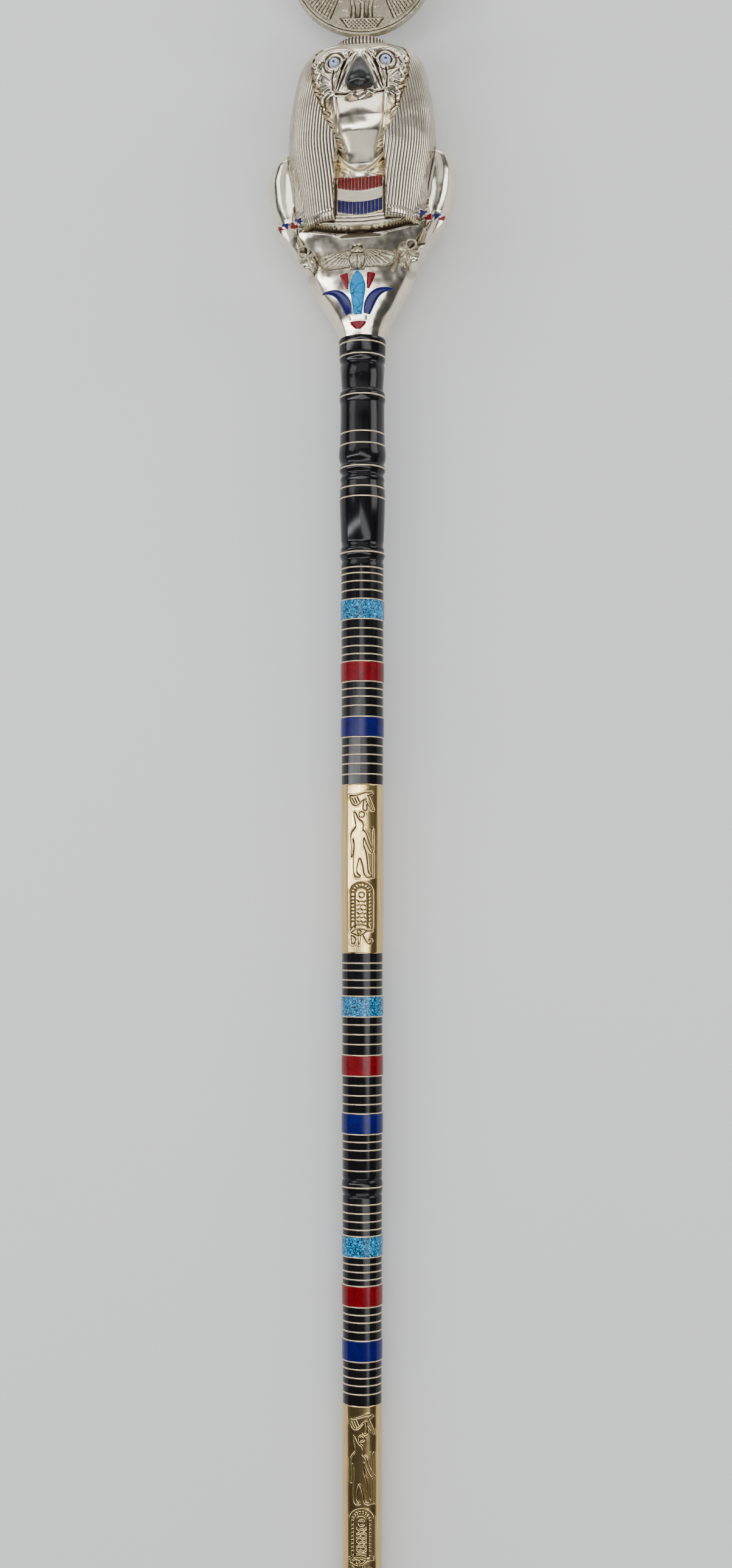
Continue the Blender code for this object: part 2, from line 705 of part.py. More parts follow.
def make_ankhs():
    for side, word in ((-1, "left"), (1, "right")):
        top = np.array([belly_shift + side * 30.9, 47.9])
        down_line = np.array([-side * 0.436, -0.900])
        across_line = np.array([down_line[1], -down_line[0]])
        length = ankh_length / unit
        bar = ankh_bar / unit
        down, aside = np.meshgrid(np.linspace(0, length, 12), np.linspace(-0.2, 0.2, 5) * length)
        spots = top[:, None, None] + down_line[:, None, None] * down + across_line[:, None, None] * aside
        depth = float(front_depth(*spots).max()) + clearance / unit

        def place(down, aside, rise):
            spot = top + down_line * down + across_line * aside
            return Vector(bust_point(spot[0], spot[1], depth + rise))

        def block(name, spots):
            """A flat bar over four spots, each a distance down and across."""
            bm = bmesh.new()
            low = [bm.verts.new(place(*spot, 0.05)) for spot in spots]
            high = [bm.verts.new(place(*spot, 0.96 * bar)) for spot in spots]
            bm.faces.new(low)
            bm.faces.new(high)
            for i in range(4):
                bm.faces.new((low[i - 1], low[i], high[i], high[i - 1]))
            return helper(name, close_mesh(bm, name))

        bm = bmesh.new()
        loop = []
        for turn in np.linspace(0, 2 * math.pi, 12, endpoint=False):
            outer = np.array([0.22 * (1 - math.cos(turn)), 0.19 * math.sin(turn) * (0.82 + 0.18 * math.cos(turn))])
            inner = np.array([0.22, 0]) + (outer - np.array([0.22, 0])) * 0.56
            loop.append([bm.verts.new(place(*(spot * length), rise)) for spot in (outer, inner) for rise in (0, bar)])
        for a, b in zip(loop, loop[1:] + loop[:1]):
            for p, q in ((0, 1), (1, 3), (3, 2), (2, 0)):
                bm.faces.new((a[p], a[q], b[q], b[p]))
        obj = add(f"{word}_ankh", close_mesh(bm, "loop"), old_silver)
        stem = [(0.40, -0.045), (1.0, -0.075), (1.0, 0.075), (0.40, 0.045)]
        arms = [(0.41, -0.27), (0.51, -0.27), (0.51, 0.27), (0.41, 0.27)]
        for name, spots in (("stem", stem), ("arms", arms)):
            join = obj.modifiers.new(name, "BOOLEAN")
            join.object = block(f"{word}_ankh_{name}", [(length * d, length * w) for d, w in spots])
            join.operation = "UNION"
        bpy.context.view_layer.update()
        obj.data = bpy.data.meshes.new_from_object(obj.evaluated_get(bpy.context.evaluated_depsgraph_get()))
        obj.modifiers.clear()


# The disc


def flat_shape(name, outline, low, high):
    """A helper prism on the disc's face, from an outline of (x, height) round its centre."""
    bm = bmesh.new()
    centre = disc_centre()
    back = [bm.verts.new((x, centre.y - low, centre.z + z)) for x, z in outline]
    front = [bm.verts.new((x, centre.y - high, centre.z + z)) for x, z in outline]
    bm.faces.new(back)
    bm.faces.new(front)
    for i in range(len(outline)):
        bm.faces.new((back[i - 1], back[i], front[i], front[i - 1]))
    return helper(name, close_mesh(bm, name))


def disc_centre():
    crown_top = shaft_height + clearance + bust_height + boss_height
    return Vector((0, -disc_depth, crown_top - disc_in_boss + disc_radius))


def wing_outline(side):
    """A wing spread out and up from the shoulder, its feather tips on an arc inside the rim."""
    reach = disc_radius - disc_rim_width - 0.0022
    tips = [(reach * math.cos(a), reach * math.sin(a)) for a in np.radians(np.linspace(-52, 34, 9))]
    root = [(0.0045, 0.0130), (0.0040, -0.0060), (0.0105, -0.0235)]
    return [(side * x, z) for x, z in tips + root]


def ellipse(middle, width, height, count):
    turns = np.linspace(0, 2 * math.pi, count, endpoint=False)
    return [(width * math.cos(a), middle + height * math.sin(a)) for a in turns]


def make_disc():
    """A round plate with raised rims on both faces, and a bird on a basket in relief on its front."""
    inner = disc_radius - disc_rim_width
    half = disc_thickness / 2
    profile = [
        (0, half),
        (inner, half),
        (inner + 0.0004, half + disc_rim_height),
        (disc_radius - 0.0006, half + disc_rim_height),
        (disc_radius, half),
        (disc_radius, -half),
        (disc_radius - 0.0006, -half - disc_rim_height),
        (inner + 0.0004, -half - disc_rim_height),
        (inner, -half),
        (0, -half),
    ]
    disc = turned("sun_disc", profile, old_silver, sides=disc_sides)
    disc.rotation_euler = (math.pi / 2, 0, 0)
    disc.location = disc_centre()
    face = half
    body = ellipse(0.0030, 0.0050, 0.0135, 10)
    head = ellipse(0.0178, 0.0036, 0.0036, 8)
    sun = ellipse(0.0256, 0.0052, 0.0052, 12)
    tail = [(0.0022, -0.0070), (-0.0022, -0.0070), (-0.0042, -0.0235), (0.0042, -0.0235)]
    basket = [(0.0108, -0.0230), (-0.0108, -0.0230), (-0.0056, -0.0330), (0.0056, -0.0330)]
    shapes = [
        ("left_wing", wing_outline(-1), 0.55),
        ("right_wing", wing_outline(1), 0.60),
        ("bird_tail", tail, 0.75),
        ("bird_body", body, 1.0),
        ("bird_head", head, 0.90),
        ("small_sun", sun, 0.70),
        ("basket", basket, 0.85),
    ]
    for side, word in ((-1, "left"), (1, "right")):
        for number, turn in enumerate(np.radians(np.linspace(-46, 28, wing_ribs))):
            along_rib, across_rib = (math.cos(turn), math.sin(turn)), (-math.sin(turn), math.cos(turn))
            corners = ((0.0145, -1), (0.0145, 1), (disc_radius - 0.0065, 1), (disc_radius - 0.0065, -1))
            outline = [
                (side * (out * along_rib[0] + 0.0007 * away * across_rib[0]),
                 out * along_rib[1] + 0.0007 * away * across_rib[1]) for out, away in corners
            ]
            shapes.append((f"{word}_feather_{number}", outline, 1.0))
    for name, outline, share in shapes:
        join = disc.modifiers.new(name, "BOOLEAN")
        join.object = flat_shape(name, outline, face - 0.0006, face + disc_relief * share)
        join.operation = "UNION"
    room, deep = disc_radius + clearance, half + disc_rim_height + clearance
    seat = turned("disc_seat", [(0, deep), (room, deep), (room, -deep), (0, -deep)], old_silver, sides=disc_sides)
    parts.objects.unlink(seat)
    cutters.objects.link(seat)
    seat.hide_render = True
    seat.display_type = "WIRE"
    seat.rotation_euler = disc.rotation_euler
    seat.location = disc.location


helpers = collection("shapes_joined_in", hidden=True)
make_shaft()
make_bands()
make_ferrule()
falcon_bust = make_bust()
make_collar()
make_armlets()
make_lotus()
make_eyes()
make_beak()
make_scarab()
make_ankhs()
make_disc()
cut_seats(falcon_bust)


def lay_down():
    """Turns the sceptre onto its back and sets the middle of its underside at the origin."""
    tilt = math.atan(floor_slope())
    resting.rotation_euler.x = -math.pi / 2 + tilt
    bpy.context.view_layer.update()
    graph = bpy.context.evaluated_depsgraph_get()
    corners = []
    for obj in parts.objects:
        if obj.type != "MESH":
            continue
        evaluated = obj.evaluated_get(graph)
        mesh = evaluated.to_mesh()
        points = np.empty(len(mesh.vertices) * 3, np.float32)
        mesh.vertices.foreach_get("co", points)
        world = np.array(evaluated.matrix_world)
        placed = points.reshape(-1, 3) @ world[:3, :3].T + world[:3, 3]
        corners += [placed.min(axis=0), placed.max(axis=0)]
        evaluated.to_mesh_clear()
    low, high = np.min(corners, axis=0), np.max(corners, axis=0)
    resting.location = (-(low[0] + high[0]) / 2, -(low[1] + high[1]) / 2, -low[2])
    bpy.context.view_layer.update()


lay_down()
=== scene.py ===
"""Looks of a ceremonial sceptre lying on its back: inlaid ebony shaft, falcon-headed bust and sun disc.

Pieces are modelled standing, foot at the origin, head up and front towards -Y,
and are then laid on the frame.
The carving of the bust is written in millimetres above its rim and from its middle.
"""

import math

import bpy
import numpy as np
from bpy.props import FloatProperty, FloatVectorProperty, IntProperty, PointerProperty
from mathutils import Matrix, Vector


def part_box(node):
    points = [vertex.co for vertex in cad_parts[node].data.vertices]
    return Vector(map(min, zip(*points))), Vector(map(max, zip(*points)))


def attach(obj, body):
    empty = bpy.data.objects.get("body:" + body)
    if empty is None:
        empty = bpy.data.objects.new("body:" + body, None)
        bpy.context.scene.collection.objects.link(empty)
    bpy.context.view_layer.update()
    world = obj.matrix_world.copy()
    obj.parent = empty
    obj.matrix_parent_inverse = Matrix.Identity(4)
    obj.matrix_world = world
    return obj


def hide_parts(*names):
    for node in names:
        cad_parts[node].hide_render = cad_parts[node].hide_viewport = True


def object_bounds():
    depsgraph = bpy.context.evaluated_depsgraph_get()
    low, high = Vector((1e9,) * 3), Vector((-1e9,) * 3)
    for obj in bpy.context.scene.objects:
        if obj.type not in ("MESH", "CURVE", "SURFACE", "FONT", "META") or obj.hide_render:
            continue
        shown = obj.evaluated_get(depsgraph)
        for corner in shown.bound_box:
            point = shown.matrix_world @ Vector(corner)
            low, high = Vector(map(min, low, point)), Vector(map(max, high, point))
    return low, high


bl_info = {
    "name": "Falcon Sceptre",
    "version": (1, 0, 0),
    "blender": (4, 5, 0),
    "location": "View3D > Sidebar > Sceptre",
    "description": "Builds the finished surfaces of a sceptre over its solid frame",
    "category": "Object",
}

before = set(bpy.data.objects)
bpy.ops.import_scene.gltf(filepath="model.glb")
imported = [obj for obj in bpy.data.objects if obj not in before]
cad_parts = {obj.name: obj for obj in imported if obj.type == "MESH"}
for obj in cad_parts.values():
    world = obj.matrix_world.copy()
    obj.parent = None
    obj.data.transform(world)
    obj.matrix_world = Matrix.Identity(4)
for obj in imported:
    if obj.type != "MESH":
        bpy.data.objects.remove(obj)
solid_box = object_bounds()

MM = 0.001

# Lengths that repeat the solids, in metres
shaft_height = 0.7457
handle_height = 0.6180
handle_radius = 0.0130
shaft_top_radius = 0.0118
shaft_foot_radius = 0.0099
ferrule_height = 0.0300
gap = 0.0003
band_length = 0.0104
band_proud = 0.0004
sleeve_length = 0.0917
sleeve_proud = 0.0003
sleeve_places = {"upper_sleeve": 0.4516, "lower_sleeve": 0.1207}
band_places = {
    "turquoise_band_1": 0.5935, "turquoise_band_2": 0.3772, "turquoise_band_3": 0.2495,
    "coral_band_1": 0.5592, "coral_band_2": 0.3455, "coral_band_3": 0.2234,
    "lapis_band_1": 0.5288, "lapis_band_2": 0.3145, "lapis_band_3": 0.1948,
}
bust_top = 169.5
boss_top = 175.0
boss_radius = 4.8
lean = 0.05
disc_radius = 0.0404
disc_thickness = 0.0036
disc_rim_width = 0.0034
disc_rim_height = 0.0008
disc_forward = 0.0050
disc_in_boss = 0.0018


def middle_of(node):
    low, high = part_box(node)
    return (low + high) / 2


def resting_place():
    """The matrix that lays a standing piece on the frame, found from two bands on the shaft."""
    low, high = middle_of("turquoise_band_3"), middle_of("turquoise_band_1")
    up = (high - low).normalized()
    across = Vector((1, 0, 0))
    back = up.cross(across)
    foot = low - up * band_places["turquoise_band_3"]
    turn = Matrix((across, back, up)).transposed().to_4x4()
    return Matrix.Translation(foot) @ turn


rest = resting_place()


# Settings a user would change


class SceptreShaft(bpy.types.PropertyGroup):
    ring_width: FloatProperty(
        name="Ring width", description="Width of each brass ring let into the shaft",
        default=0.0009, min=0.0004, max=0.002, precision=4, unit="LENGTH",
    )
    wood_colour: FloatVectorProperty(
        name="Ebony", description="Colour of the wood", subtype="COLOR", default=(0.0045, 0.004, 0.005),
        min=0, max=1,
    )
    brass_colour: FloatVectorProperty(
        name="Brass", description="Colour of rings, sleeves and ferrule", subtype="COLOR",
        default=(0.84, 0.60, 0.25), min=0, max=1,
    )


class SceptreBust(bpy.types.PropertyGroup):
    strand_pitch: FloatProperty(
        name="Strand width", description="Width of one strand of the wig, in millimetres", default=1.9,
        min=1, max=4,
    )
    strand_depth: FloatProperty(
        name="Strand depth", description="Depth of the grooves between strands, in millimetres",
        default=0.55,
        min=0, max=1,
    )
    metal_colour: FloatVectorProperty(
        name="Metal", description="Colour of the polished metal", subtype="COLOR",
        default=(0.86, 0.78, 0.62),
        min=0, max=1,
    )
    # Patina and painted shade: the colour painted into the hollows of the bust, disc and ornaments
    patina_and_shade_colour: FloatVectorProperty(
        name="Patina", description="Colour of the dark hollows", subtype="COLOR",
        default=(0.050, 0.032, 0.018),
        min=0, max=1,
    )


class SceptreDisc(bpy.types.PropertyGroup):
    relief: FloatProperty(
        name="Relief", description="Height of the bird above the plate", default=0.0010, min=0, max=0.002,
        precision=4, unit="LENGTH",
    )
    feathers: IntProperty(
        name="Feathers", description="Long feathers in each wing", default=34, min=8, max=40
    )
    metal_colour: FloatVectorProperty(
        name="Metal", description="Colour of the antiqued metal", subtype="COLOR",
        default=(0.46, 0.42, 0.30),
        min=0, max=1,
    )


class SceptreStones(bpy.types.PropertyGroup):
    turquoise_colour: FloatVectorProperty(
        name="Turquoise", description="Colour of the turquoise", subtype="COLOR",
        default=(0.008, 0.29, 0.66),
        min=0, max=1,
    )
    coral_colour: FloatVectorProperty(
        name="Coral", description="Colour of the red coral", subtype="COLOR", default=(0.12, 0.001, 0.004),
        min=0, max=1,
    )
    lapis_colour: FloatVectorProperty(
        name="Lapis", description="Colour of the lapis", subtype="COLOR", default=(0.002, 0.002, 0.075),
        min=0, max=1,
    )
    glass_colour: FloatVectorProperty(
        name="Eye glass", description="Colour of the eyes", subtype="COLOR", default=(0.30, 0.40, 0.66),
        min=0,
        max=1,
    )


class SceptreStage(bpy.types.PropertyGroup):
    floor_colour: FloatVectorProperty(
        name="Floor", description="Colour of the floor", subtype="COLOR", default=(0.74, 0.74, 0.73),
        min=0, max=1,
    )
    distance: FloatProperty(
        name="Distance", description="Camera to the sceptre's axis", default=0.993, min=0.3, max=4,
        unit="LENGTH",
    )
    aim: FloatProperty(
        name="Aim", description="Height on the shaft that the camera stands over", default=0.428,
        unit="LENGTH",
    )


# Making pieces


def select_only(obj):
    if bpy.context.mode != "OBJECT":
        bpy.ops.object.mode_set(mode="OBJECT")
    bpy.ops.object.select_all(action="DESELECT")
    obj.select_set(True)
    bpy.context.view_layer.objects.active = obj


def from_points(name, points, edges=(), faces=()):
    mesh = bpy.data.meshes.new(name)
    mesh.from_pydata([tuple(p) for p in points], list(edges), [tuple(f) for f in faces])
    obj = bpy.data.objects.new(name, mesh)
    bpy.context.scene.collection.objects.link(obj)
    return obj


def tidy_faces(obj):
    """Merges doubled points and turns every face outwards."""
    select_only(obj)
    bpy.ops.object.mode_set(mode="EDIT")
    bpy.ops.mesh.select_all(action="SELECT")
    bpy.ops.mesh.remove_doubles(threshold=0.000002)
    bpy.ops.mesh.normals_make_consistent(inside=False)
    bpy.ops.object.mode_set(mode="OBJECT")


def settle(obj, finish, stands_for=(), angle=40, standing=True):
    """Lays a finished piece on the frame with its material and body, and hides the nodes it stands for."""
    select_only(obj)
    if standing:
        obj.matrix_world = rest @ obj.matrix_world
    bpy.ops.object.transform_apply(location=True, rotation=True, scale=True)
    bpy.ops.object.shade_smooth_by_angle(angle=math.radians(angle))
    obj.data.materials.clear()
    obj.data.materials.append(finish)
    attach(obj, "root")
    if stands_for:
        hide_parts(*stands_for)
    return obj


def turned(name, profile, steps=96):
    """Spins a profile of (radius, height) points once round the upright axis."""
    obj = from_points(name, [(r, 0, z) for r, z in profile], [(i, i + 1) for i in range(len(profile) - 1)])
    select_only(obj)
    bpy.ops.object.mode_set(mode="EDIT")
    bpy.ops.mesh.select_all(action="SELECT")
    bpy.ops.mesh.spin(steps=steps, angle=math.tau, center=(0, 0, 0), axis=(0, 0, 1))
    bpy.ops.object.mode_set(mode="OBJECT")
    tidy_faces(obj)
    return obj


def skin(name, grid, wrap=False, ends=True):
    """A closed skin over rows of points; wrap closes each row, and ends closes the first and last row."""
    rows, columns = grid.shape[:2]
    index = np.arange(rows * columns).reshape(rows, columns)
    right = np.roll(index, -1, axis=1) if wrap else index[:, 1:]
    left = index if wrap else index[:, :-1]
    quads = np.stack([left[:-1], right[:-1], right[1:], left[1:]], -1).reshape(-1, 4)
    mesh = bpy.data.meshes.new(name)
    loops = quads.ravel()
    caps = [index[0][::-1], index[-1]] if ends else []
    mesh.vertices.add(rows * columns)
    mesh.vertices.foreach_set("co", grid.reshape(-1, 3).ravel())
    mesh.loops.add(len(loops) + sum(len(c) for c in caps))
    mesh.loops.foreach_set("vertex_index", np.concatenate([loops, *caps]))
    mesh.polygons.add(len(quads) + len(caps))
    starts = np.arange(len(quads)) * 4
    totals = np.full(len(quads), 4)
    for cap in caps:
        starts = np.append(starts, starts[-1] + totals[-1])
        totals = np.append(totals, len(cap))
    mesh.polygons.foreach_set("loop_start", starts)
    mesh.update(calc_edges=True)
    mesh.validate()
    obj = bpy.data.objects.new(name, mesh)
    bpy.context.scene.collection.objects.link(obj)
    return obj


def paint(obj, name, values):
    """Stores one value a point, for a material to read."""
    made = obj.data.attributes.new(name, "FLOAT", "POINT")
    made.data.foreach_set("value", np.asarray(values, np.float32).ravel())


def normals(grid, wrap, sheet=False):
    """Unit normals of rows of points: to the front on a sheet, away from its middle on a closed skin."""
    along_row = np.roll(grid, -1, 1) - np.roll(grid, 1, 1) if wrap else np.gradient(grid, axis=1)
    normal = np.cross(along_row, np.gradient(grid, axis=0))
    normal = normal / np.maximum(np.linalg.norm(normal, axis=2), 1e-12)[..., None]
    toward = np.array((0, -1, 0)) if sheet else grid - grid.mean(axis=(0, 1))
    return normal * np.sign((normal * toward).sum())


def blur(grid, reach_row, reach_column, wrap):
    """The mean of each point's neighbours in its rows and columns."""
    sides = ((0, 0), (reach_column, reach_column), (0, 0))
    wide = np.pad(grid, sides, mode="wrap" if wrap else "edge")
    total = sum(wide[:, step:step + grid.shape[1]] for step in range(2 * reach_column + 1))
    tall = np.pad(total, ((reach_row, reach_row), (0, 0), (0, 0)), mode="edge")
    total = sum(tall[step:step + len(grid)] for step in range(2 * reach_row + 1))
    return total / (2 * reach_column + 1) / (2 * reach_row + 1)


def hollowness(grid, facing, wrap, fine=0.00008, broad=0.0009):
    """How sunken each point lies among its neighbours, from 0 to 1."""
    near = ((blur(grid, 1, 2, wrap) - grid) * facing).sum(2) / fine
    far = ((blur(grid, 4, 8, wrap) - grid) * facing).sum(2) / broad
    return np.clip(np.maximum(near, far), 0, 1)


# Lines and shapes of the bust


def smooth(low, high, value):
    share = np.clip((value - low) / (high - low), 0, 1)
    return share * share * (3 - 2 * share)


def along(points, value):
    """A smooth line through a few (place, size) points, with no overshoot."""
    place, size = np.array(points, float).T
    slope = np.diff(size) / np.diff(place)
    bend = np.zeros(len(place))
    both = slope[:-1] * slope[1:]
    total = np.where(slope[:-1] + slope[1:] == 0, 1, slope[:-1] + slope[1:])
    bend[1:-1] = np.where(both > 0, 2 * both / total, 0)
    bend[0], bend[-1] = slope[0], slope[-1]
    value = np.clip(value, place[0], place[-1])
    i = np.clip(np.searchsorted(place, value, side="right") - 1, 0, len(slope) - 1)
    width = place[i + 1] - place[i]
    t = (value - place[i]) / width
    start = size[i] * (1 + 2 * t) * (1 - t) ** 2 + width * bend[i] * t * (1 - t) ** 2
    end = size[i + 1] * t * t * (3 - 2 * t) - width * bend[i + 1] * t * t * (1 - t)
    return start + end


def dome(x, half_width, depth, power):
    share = np.clip(np.abs(x) / half_width, 0, 1)
    return depth * (1 - share**power) ** (1 / power)


def blended(a, b, fillet=0.6):
    return (a + b + np.sqrt((a - b) ** 2 + fillet**2)) / 2


rim = 0.99 * handle_radius / MM
body_line = ((0, rim), (6, 14.8), (16, 20.6), (31, 28.7), (46, 35.4), (54, 40.5), (60, 45.2), (66, 48.3),
             (78, 51.8), (90, 52.82), (98, 51.1), (103, 47.5), (107, 40.0), (112, 25.0))
wig_line = ((58, 34.5), (80, 37.5), (108, 41.4), (121, 40.9), (134, 39.3), (144, 37.4), (151, 35.6),
            (156, 33.2), (161, 28.5), (165, 22.5))
wig_depth = ((58, 38), (100, 37.5), (115, 36.5), (129, 35), (140, 33.5), (150, 31), (156, 28), (161, 21.4),
             (165, 15.3))
face_line = ((58, 13.9), (90, 13.6), (97, 12.6), (103, 13.2), (115, 19), (129, 23.5), (138, 26), (148, 26.5),
             (157, 24), (165, 14))
face_depth = ((80, 29.5), (86, 28.5), (92, 26), (100, 24.3), (110, 24), (118, 26.5), (124, 31), (128, 34.5),
              (133, 35.5), (140, 35), (147, 33.5), (153, 31), (157, 28))
face_width = ((86, 19), (95, 18), (103, 19), (115, 25), (129, 30), (140, 32), (150, 32), (157, 30))
belly_depth = ((0, rim), (5, 14.2), (15, 17), (31, 20), (46, 21.5), (60, 22), (100, 20), (112, 14), (119, 1))
chest_depth = ((54, 31), (58, 30.5), (65, 30), (75, 29.5), (86, 29), (95, 26), (105, 20), (117, 1))
back_depth = ((0, rim), (6, 13.8), (20, 17), (46, 21), (66, 22), (95, 24), (112, 20), (125, 4))
wig_back_share = (
    (66, 0.88), (90, 0.96), (112, 1), (134, 1), (146, 0.93), (156, 0.79), (161, 0.66), (165, 0.57)
)
wig_back = 28.6
wig_flat = 1.2
wig_power = 2.4
wig_flat_height = 124.0
lappet_end = 58.5
wig_back_end = 66.0
brow_height = 157.0
brow_width = 4.0
dome_top = 165.0
crown_radius = 15.5
chest_end = 54.4
arm_radius = 8.8
armlet_height = 62.5
eye_side = 14.2
eye_height = 146.0
strip_half_width = 12.4
strip_rise = 2.2
strip_end = 0.985
rim_heights, rim_half = (60.3, 68.7, 73.9), 0.32
edge = 0.45
belly_shift = -1.8
# The foot's lowest facet, on whose plane and the wig's flat the sceptre lies
foot_reach = (shaft_foot_radius + (shaft_top_radius - shaft_foot_radius) * ferrule_height / handle_height
              + band_proud) * math.cos(math.pi / 12)


def half_width(h):
    wig = np.where(h > lappet_end, along(wig_line, h), 0)
    body = np.where(h < body_line[-1][0], along(body_line, h), 0)
    return np.maximum(wig, body)


def section_power(h):
    return 2 + 0.5 * smooth(0, 25, h)


def capsule(x, h, start, end):
    """The depth of a limb's front between two (x, height, depth, radius) ends."""
    (x0, h0, z0, r0), (x1, h1, z1, r1) = start, end
    length = (x1 - x0) ** 2 + (h1 - h0) ** 2
    t = np.clip(((x - x0) * (x1 - x0) + (h - h0) * (h1 - h0)) / length, 0, 1)
    away = (x - x0 - t * (x1 - x0)) ** 2 + (h - h0 - t * (h1 - h0)) ** 2
    radius = r0 + t * (r1 - r0)
    return np.where(away < radius**2, z0 + t * (z1 - z0) + np.sqrt(np.clip(radius**2 - away, 0, None)), 0)


def arm_front(side, width, h):
    across = (side - width + arm_radius) / arm_radius
    arm = 15 * np.sqrt(np.clip(1 - across**2, 0, 1)) * smooth(57, 61, h) * (1 - smooth(99, 112, h))
    armlet = smooth(-2.6, -2.2, h - armlet_height) - smooth(2.2, 2.6, h - armlet_height)
    return np.where(arm > 3, arm + 0.8 * armlet, arm)


def body_front(x, h):
    side, width = np.abs(x), half_width(h)
    depth = dome(x, np.minimum(width, along(body_line, h)), along(belly_depth, h), section_power(h))
    chest = dome(x, 42.0, along(chest_depth, h), 2.4)
    above = h - chest_end - 0.006 * x * x
    ridges = 0.7 * np.abs(np.sin(above * math.pi / 2.2)) * (1 - smooth(5, 6.5, above))
    depth = depth + smooth(-0.3, 0.3, above) * np.maximum(chest + ridges - depth, 0)
    forearm = capsule(side, h, (40.5, 61, 8.5, 7.0), (34.5, 43, 15.0, 5.2))
    hand = capsule(side, h, (33.5, 42, 16.0, 5.0), (29.5, 39.5, 17.5, 4.8))
    return np.maximum(blended(depth, arm_front(side, width, h)), np.maximum(forearm, hand))


def face_front(x, h):
    depth = dome(x, along(face_width, h), along(face_depth, h), 2.6)
    ring = 1.6 * np.exp(-(((h - 84 - 13 * (x / 12.5) ** 2) / 2.0) ** 2)) * (np.abs(x) < 13.5)
    from_eye = np.hypot(np.abs(x) - eye_side, h - eye_height)
    socket = 0.9 * np.exp(-(((from_eye - 4.2) / 1.1) ** 2))
    brow = 1.5 * np.exp(-(((h - 152.5 + 0.02 * (np.abs(x) - 14) ** 2) / 1.6) ** 2)) * smooth(4, 8, np.abs(x))
    mandible = 2.8 * np.exp(-((x / 6.6) ** 4)) * np.exp(-(((h - 127.2 - 0.14 * x) / 1.7) ** 2))
    return depth + ring + socket + brow + mandible


def wig_mask(x, h):
    """1 where the wig covers the body, 0 on the face, chest, arms and belly."""
    side = np.abs(x)
    inside = np.maximum(smooth(-0.4, 0.4, side - along(face_line, h)), smooth(-0.3, 0.3, h - brow_height))
    outside = np.maximum(smooth(-0.4, 0.4, along(wig_line, h) - side), smooth(106, 108, h))
    return inside * outside * smooth(-0.3, 0.3, h - lappet_end)


def brow_band(x, h):
    band = smooth(-0.3, 0.3, h - brow_height) * (1 - smooth(-0.3, 0.3, h - brow_height - brow_width))
    return band * (np.abs(x) < 27)


def front_depth(x, h):
    """How far the bust's front stands before the axis, without its fine carving."""
    x, h = np.asarray(x, float), np.asarray(h, float)
    body = body_front(x, h)
    under_brow = 1 - smooth(brow_height - 0.4, brow_height + 0.4, h)
    on_face = (1 - smooth(-0.4, 0.4, np.abs(x) - along(face_line, h))) * smooth(80, 86, h) * under_brow
    body = body + on_face * (face_front(x, h) - body)
    return body + wig_mask(x, h) * np.maximum(wig_dome(x, h) + brow_band(x, h) - body, 0)


def wig_dome(x, h):
    return dome(x, along(wig_line, h), along(wig_depth, h), wig_power)


def back_depth_at(x, h):
    """How far the bust's back stands behind the axis, cut flat where it lies on the floor."""
    depth = dome(x, half_width(h), along(back_depth, h), section_power(h))
    wig = dome(x, half_width(h), along(wig_back_share, h) * wig_back, wig_power)
    depth = depth + smooth(-0.3, 0.3, h - wig_back_end) * np.maximum(wig - depth, 0)
    slope = (wig_back - wig_flat - foot_reach / MM) / (shaft_height / MM + gap / MM + wig_flat_height)
    return np.minimum(depth, foot_reach / MM + slope * ((shaft_height + gap) / MM + h))


def bust_point(x, h, depth):
    """A point of the bust in metres, standing, from its place in the carving's millimetres."""
    lifted = h + lean * x * smooth(0, 40, h) * (1 - 0.7 * smooth(150, 166, h))
    return np.stack(
        np.broadcast_arrays(x * MM, -np.asarray(depth) * MM, shaft_height + gap + lifted * MM), -1
    )


def stroke(x, h, points, width):
    """1 on a carved line through the points, falling away to 0 over its width."""
    nearest = np.full(np.broadcast(x, h).shape, 1e9)
    for (x0, h0), (x1, h1) in zip(points, points[1:]):
        length = (x1 - x0) ** 2 + (h1 - h0) ** 2
        t = np.clip(((x - x0) * (x1 - x0) + (h - h0) * (h1 - h0)) / length, 0, 1)
        nearest = np.minimum(nearest, (x - x0 - t * (x1 - x0)) ** 2 + (h - h0 - t * (h1 - h0)) ** 2)
    return np.exp(-nearest / width**2)


# Columns of the fine bust: each side's middle, lappet and arm, then the back
middle_columns, arm_columns = 20, 26
strand_columns, front_strands = 5, 27
back_columns, back_strands = 4, 30
row_spans = ((0, 53.4, 36), (53.4, 63.4, 26), (63.4, 156, 76), (156, 162, 12), (162, 165, 5))


def set_along(width, depth, runs):
    """The x of points at set lengths along each row's oval, measured in from its edge."""
    turn = np.linspace(0, math.pi / 2, 240)
    rows = []
    for wide, deep in zip(np.ravel(width), np.ravel(depth)):
        x, z = wide * np.cos(turn) ** (2 / wig_power), deep * np.sin(turn) ** (2 / wig_power)
        length = np.concatenate([[0], np.cumsum(np.hypot(np.diff(x), np.diff(z)))])
        rows.append(np.interp(runs, length, x))
    return np.array(rows)


def groove(turns):
    """1 in a narrow groove between two round strands, 0 on a strand."""
    return (1 - np.abs(np.sin(math.pi * turns))) ** 1.7


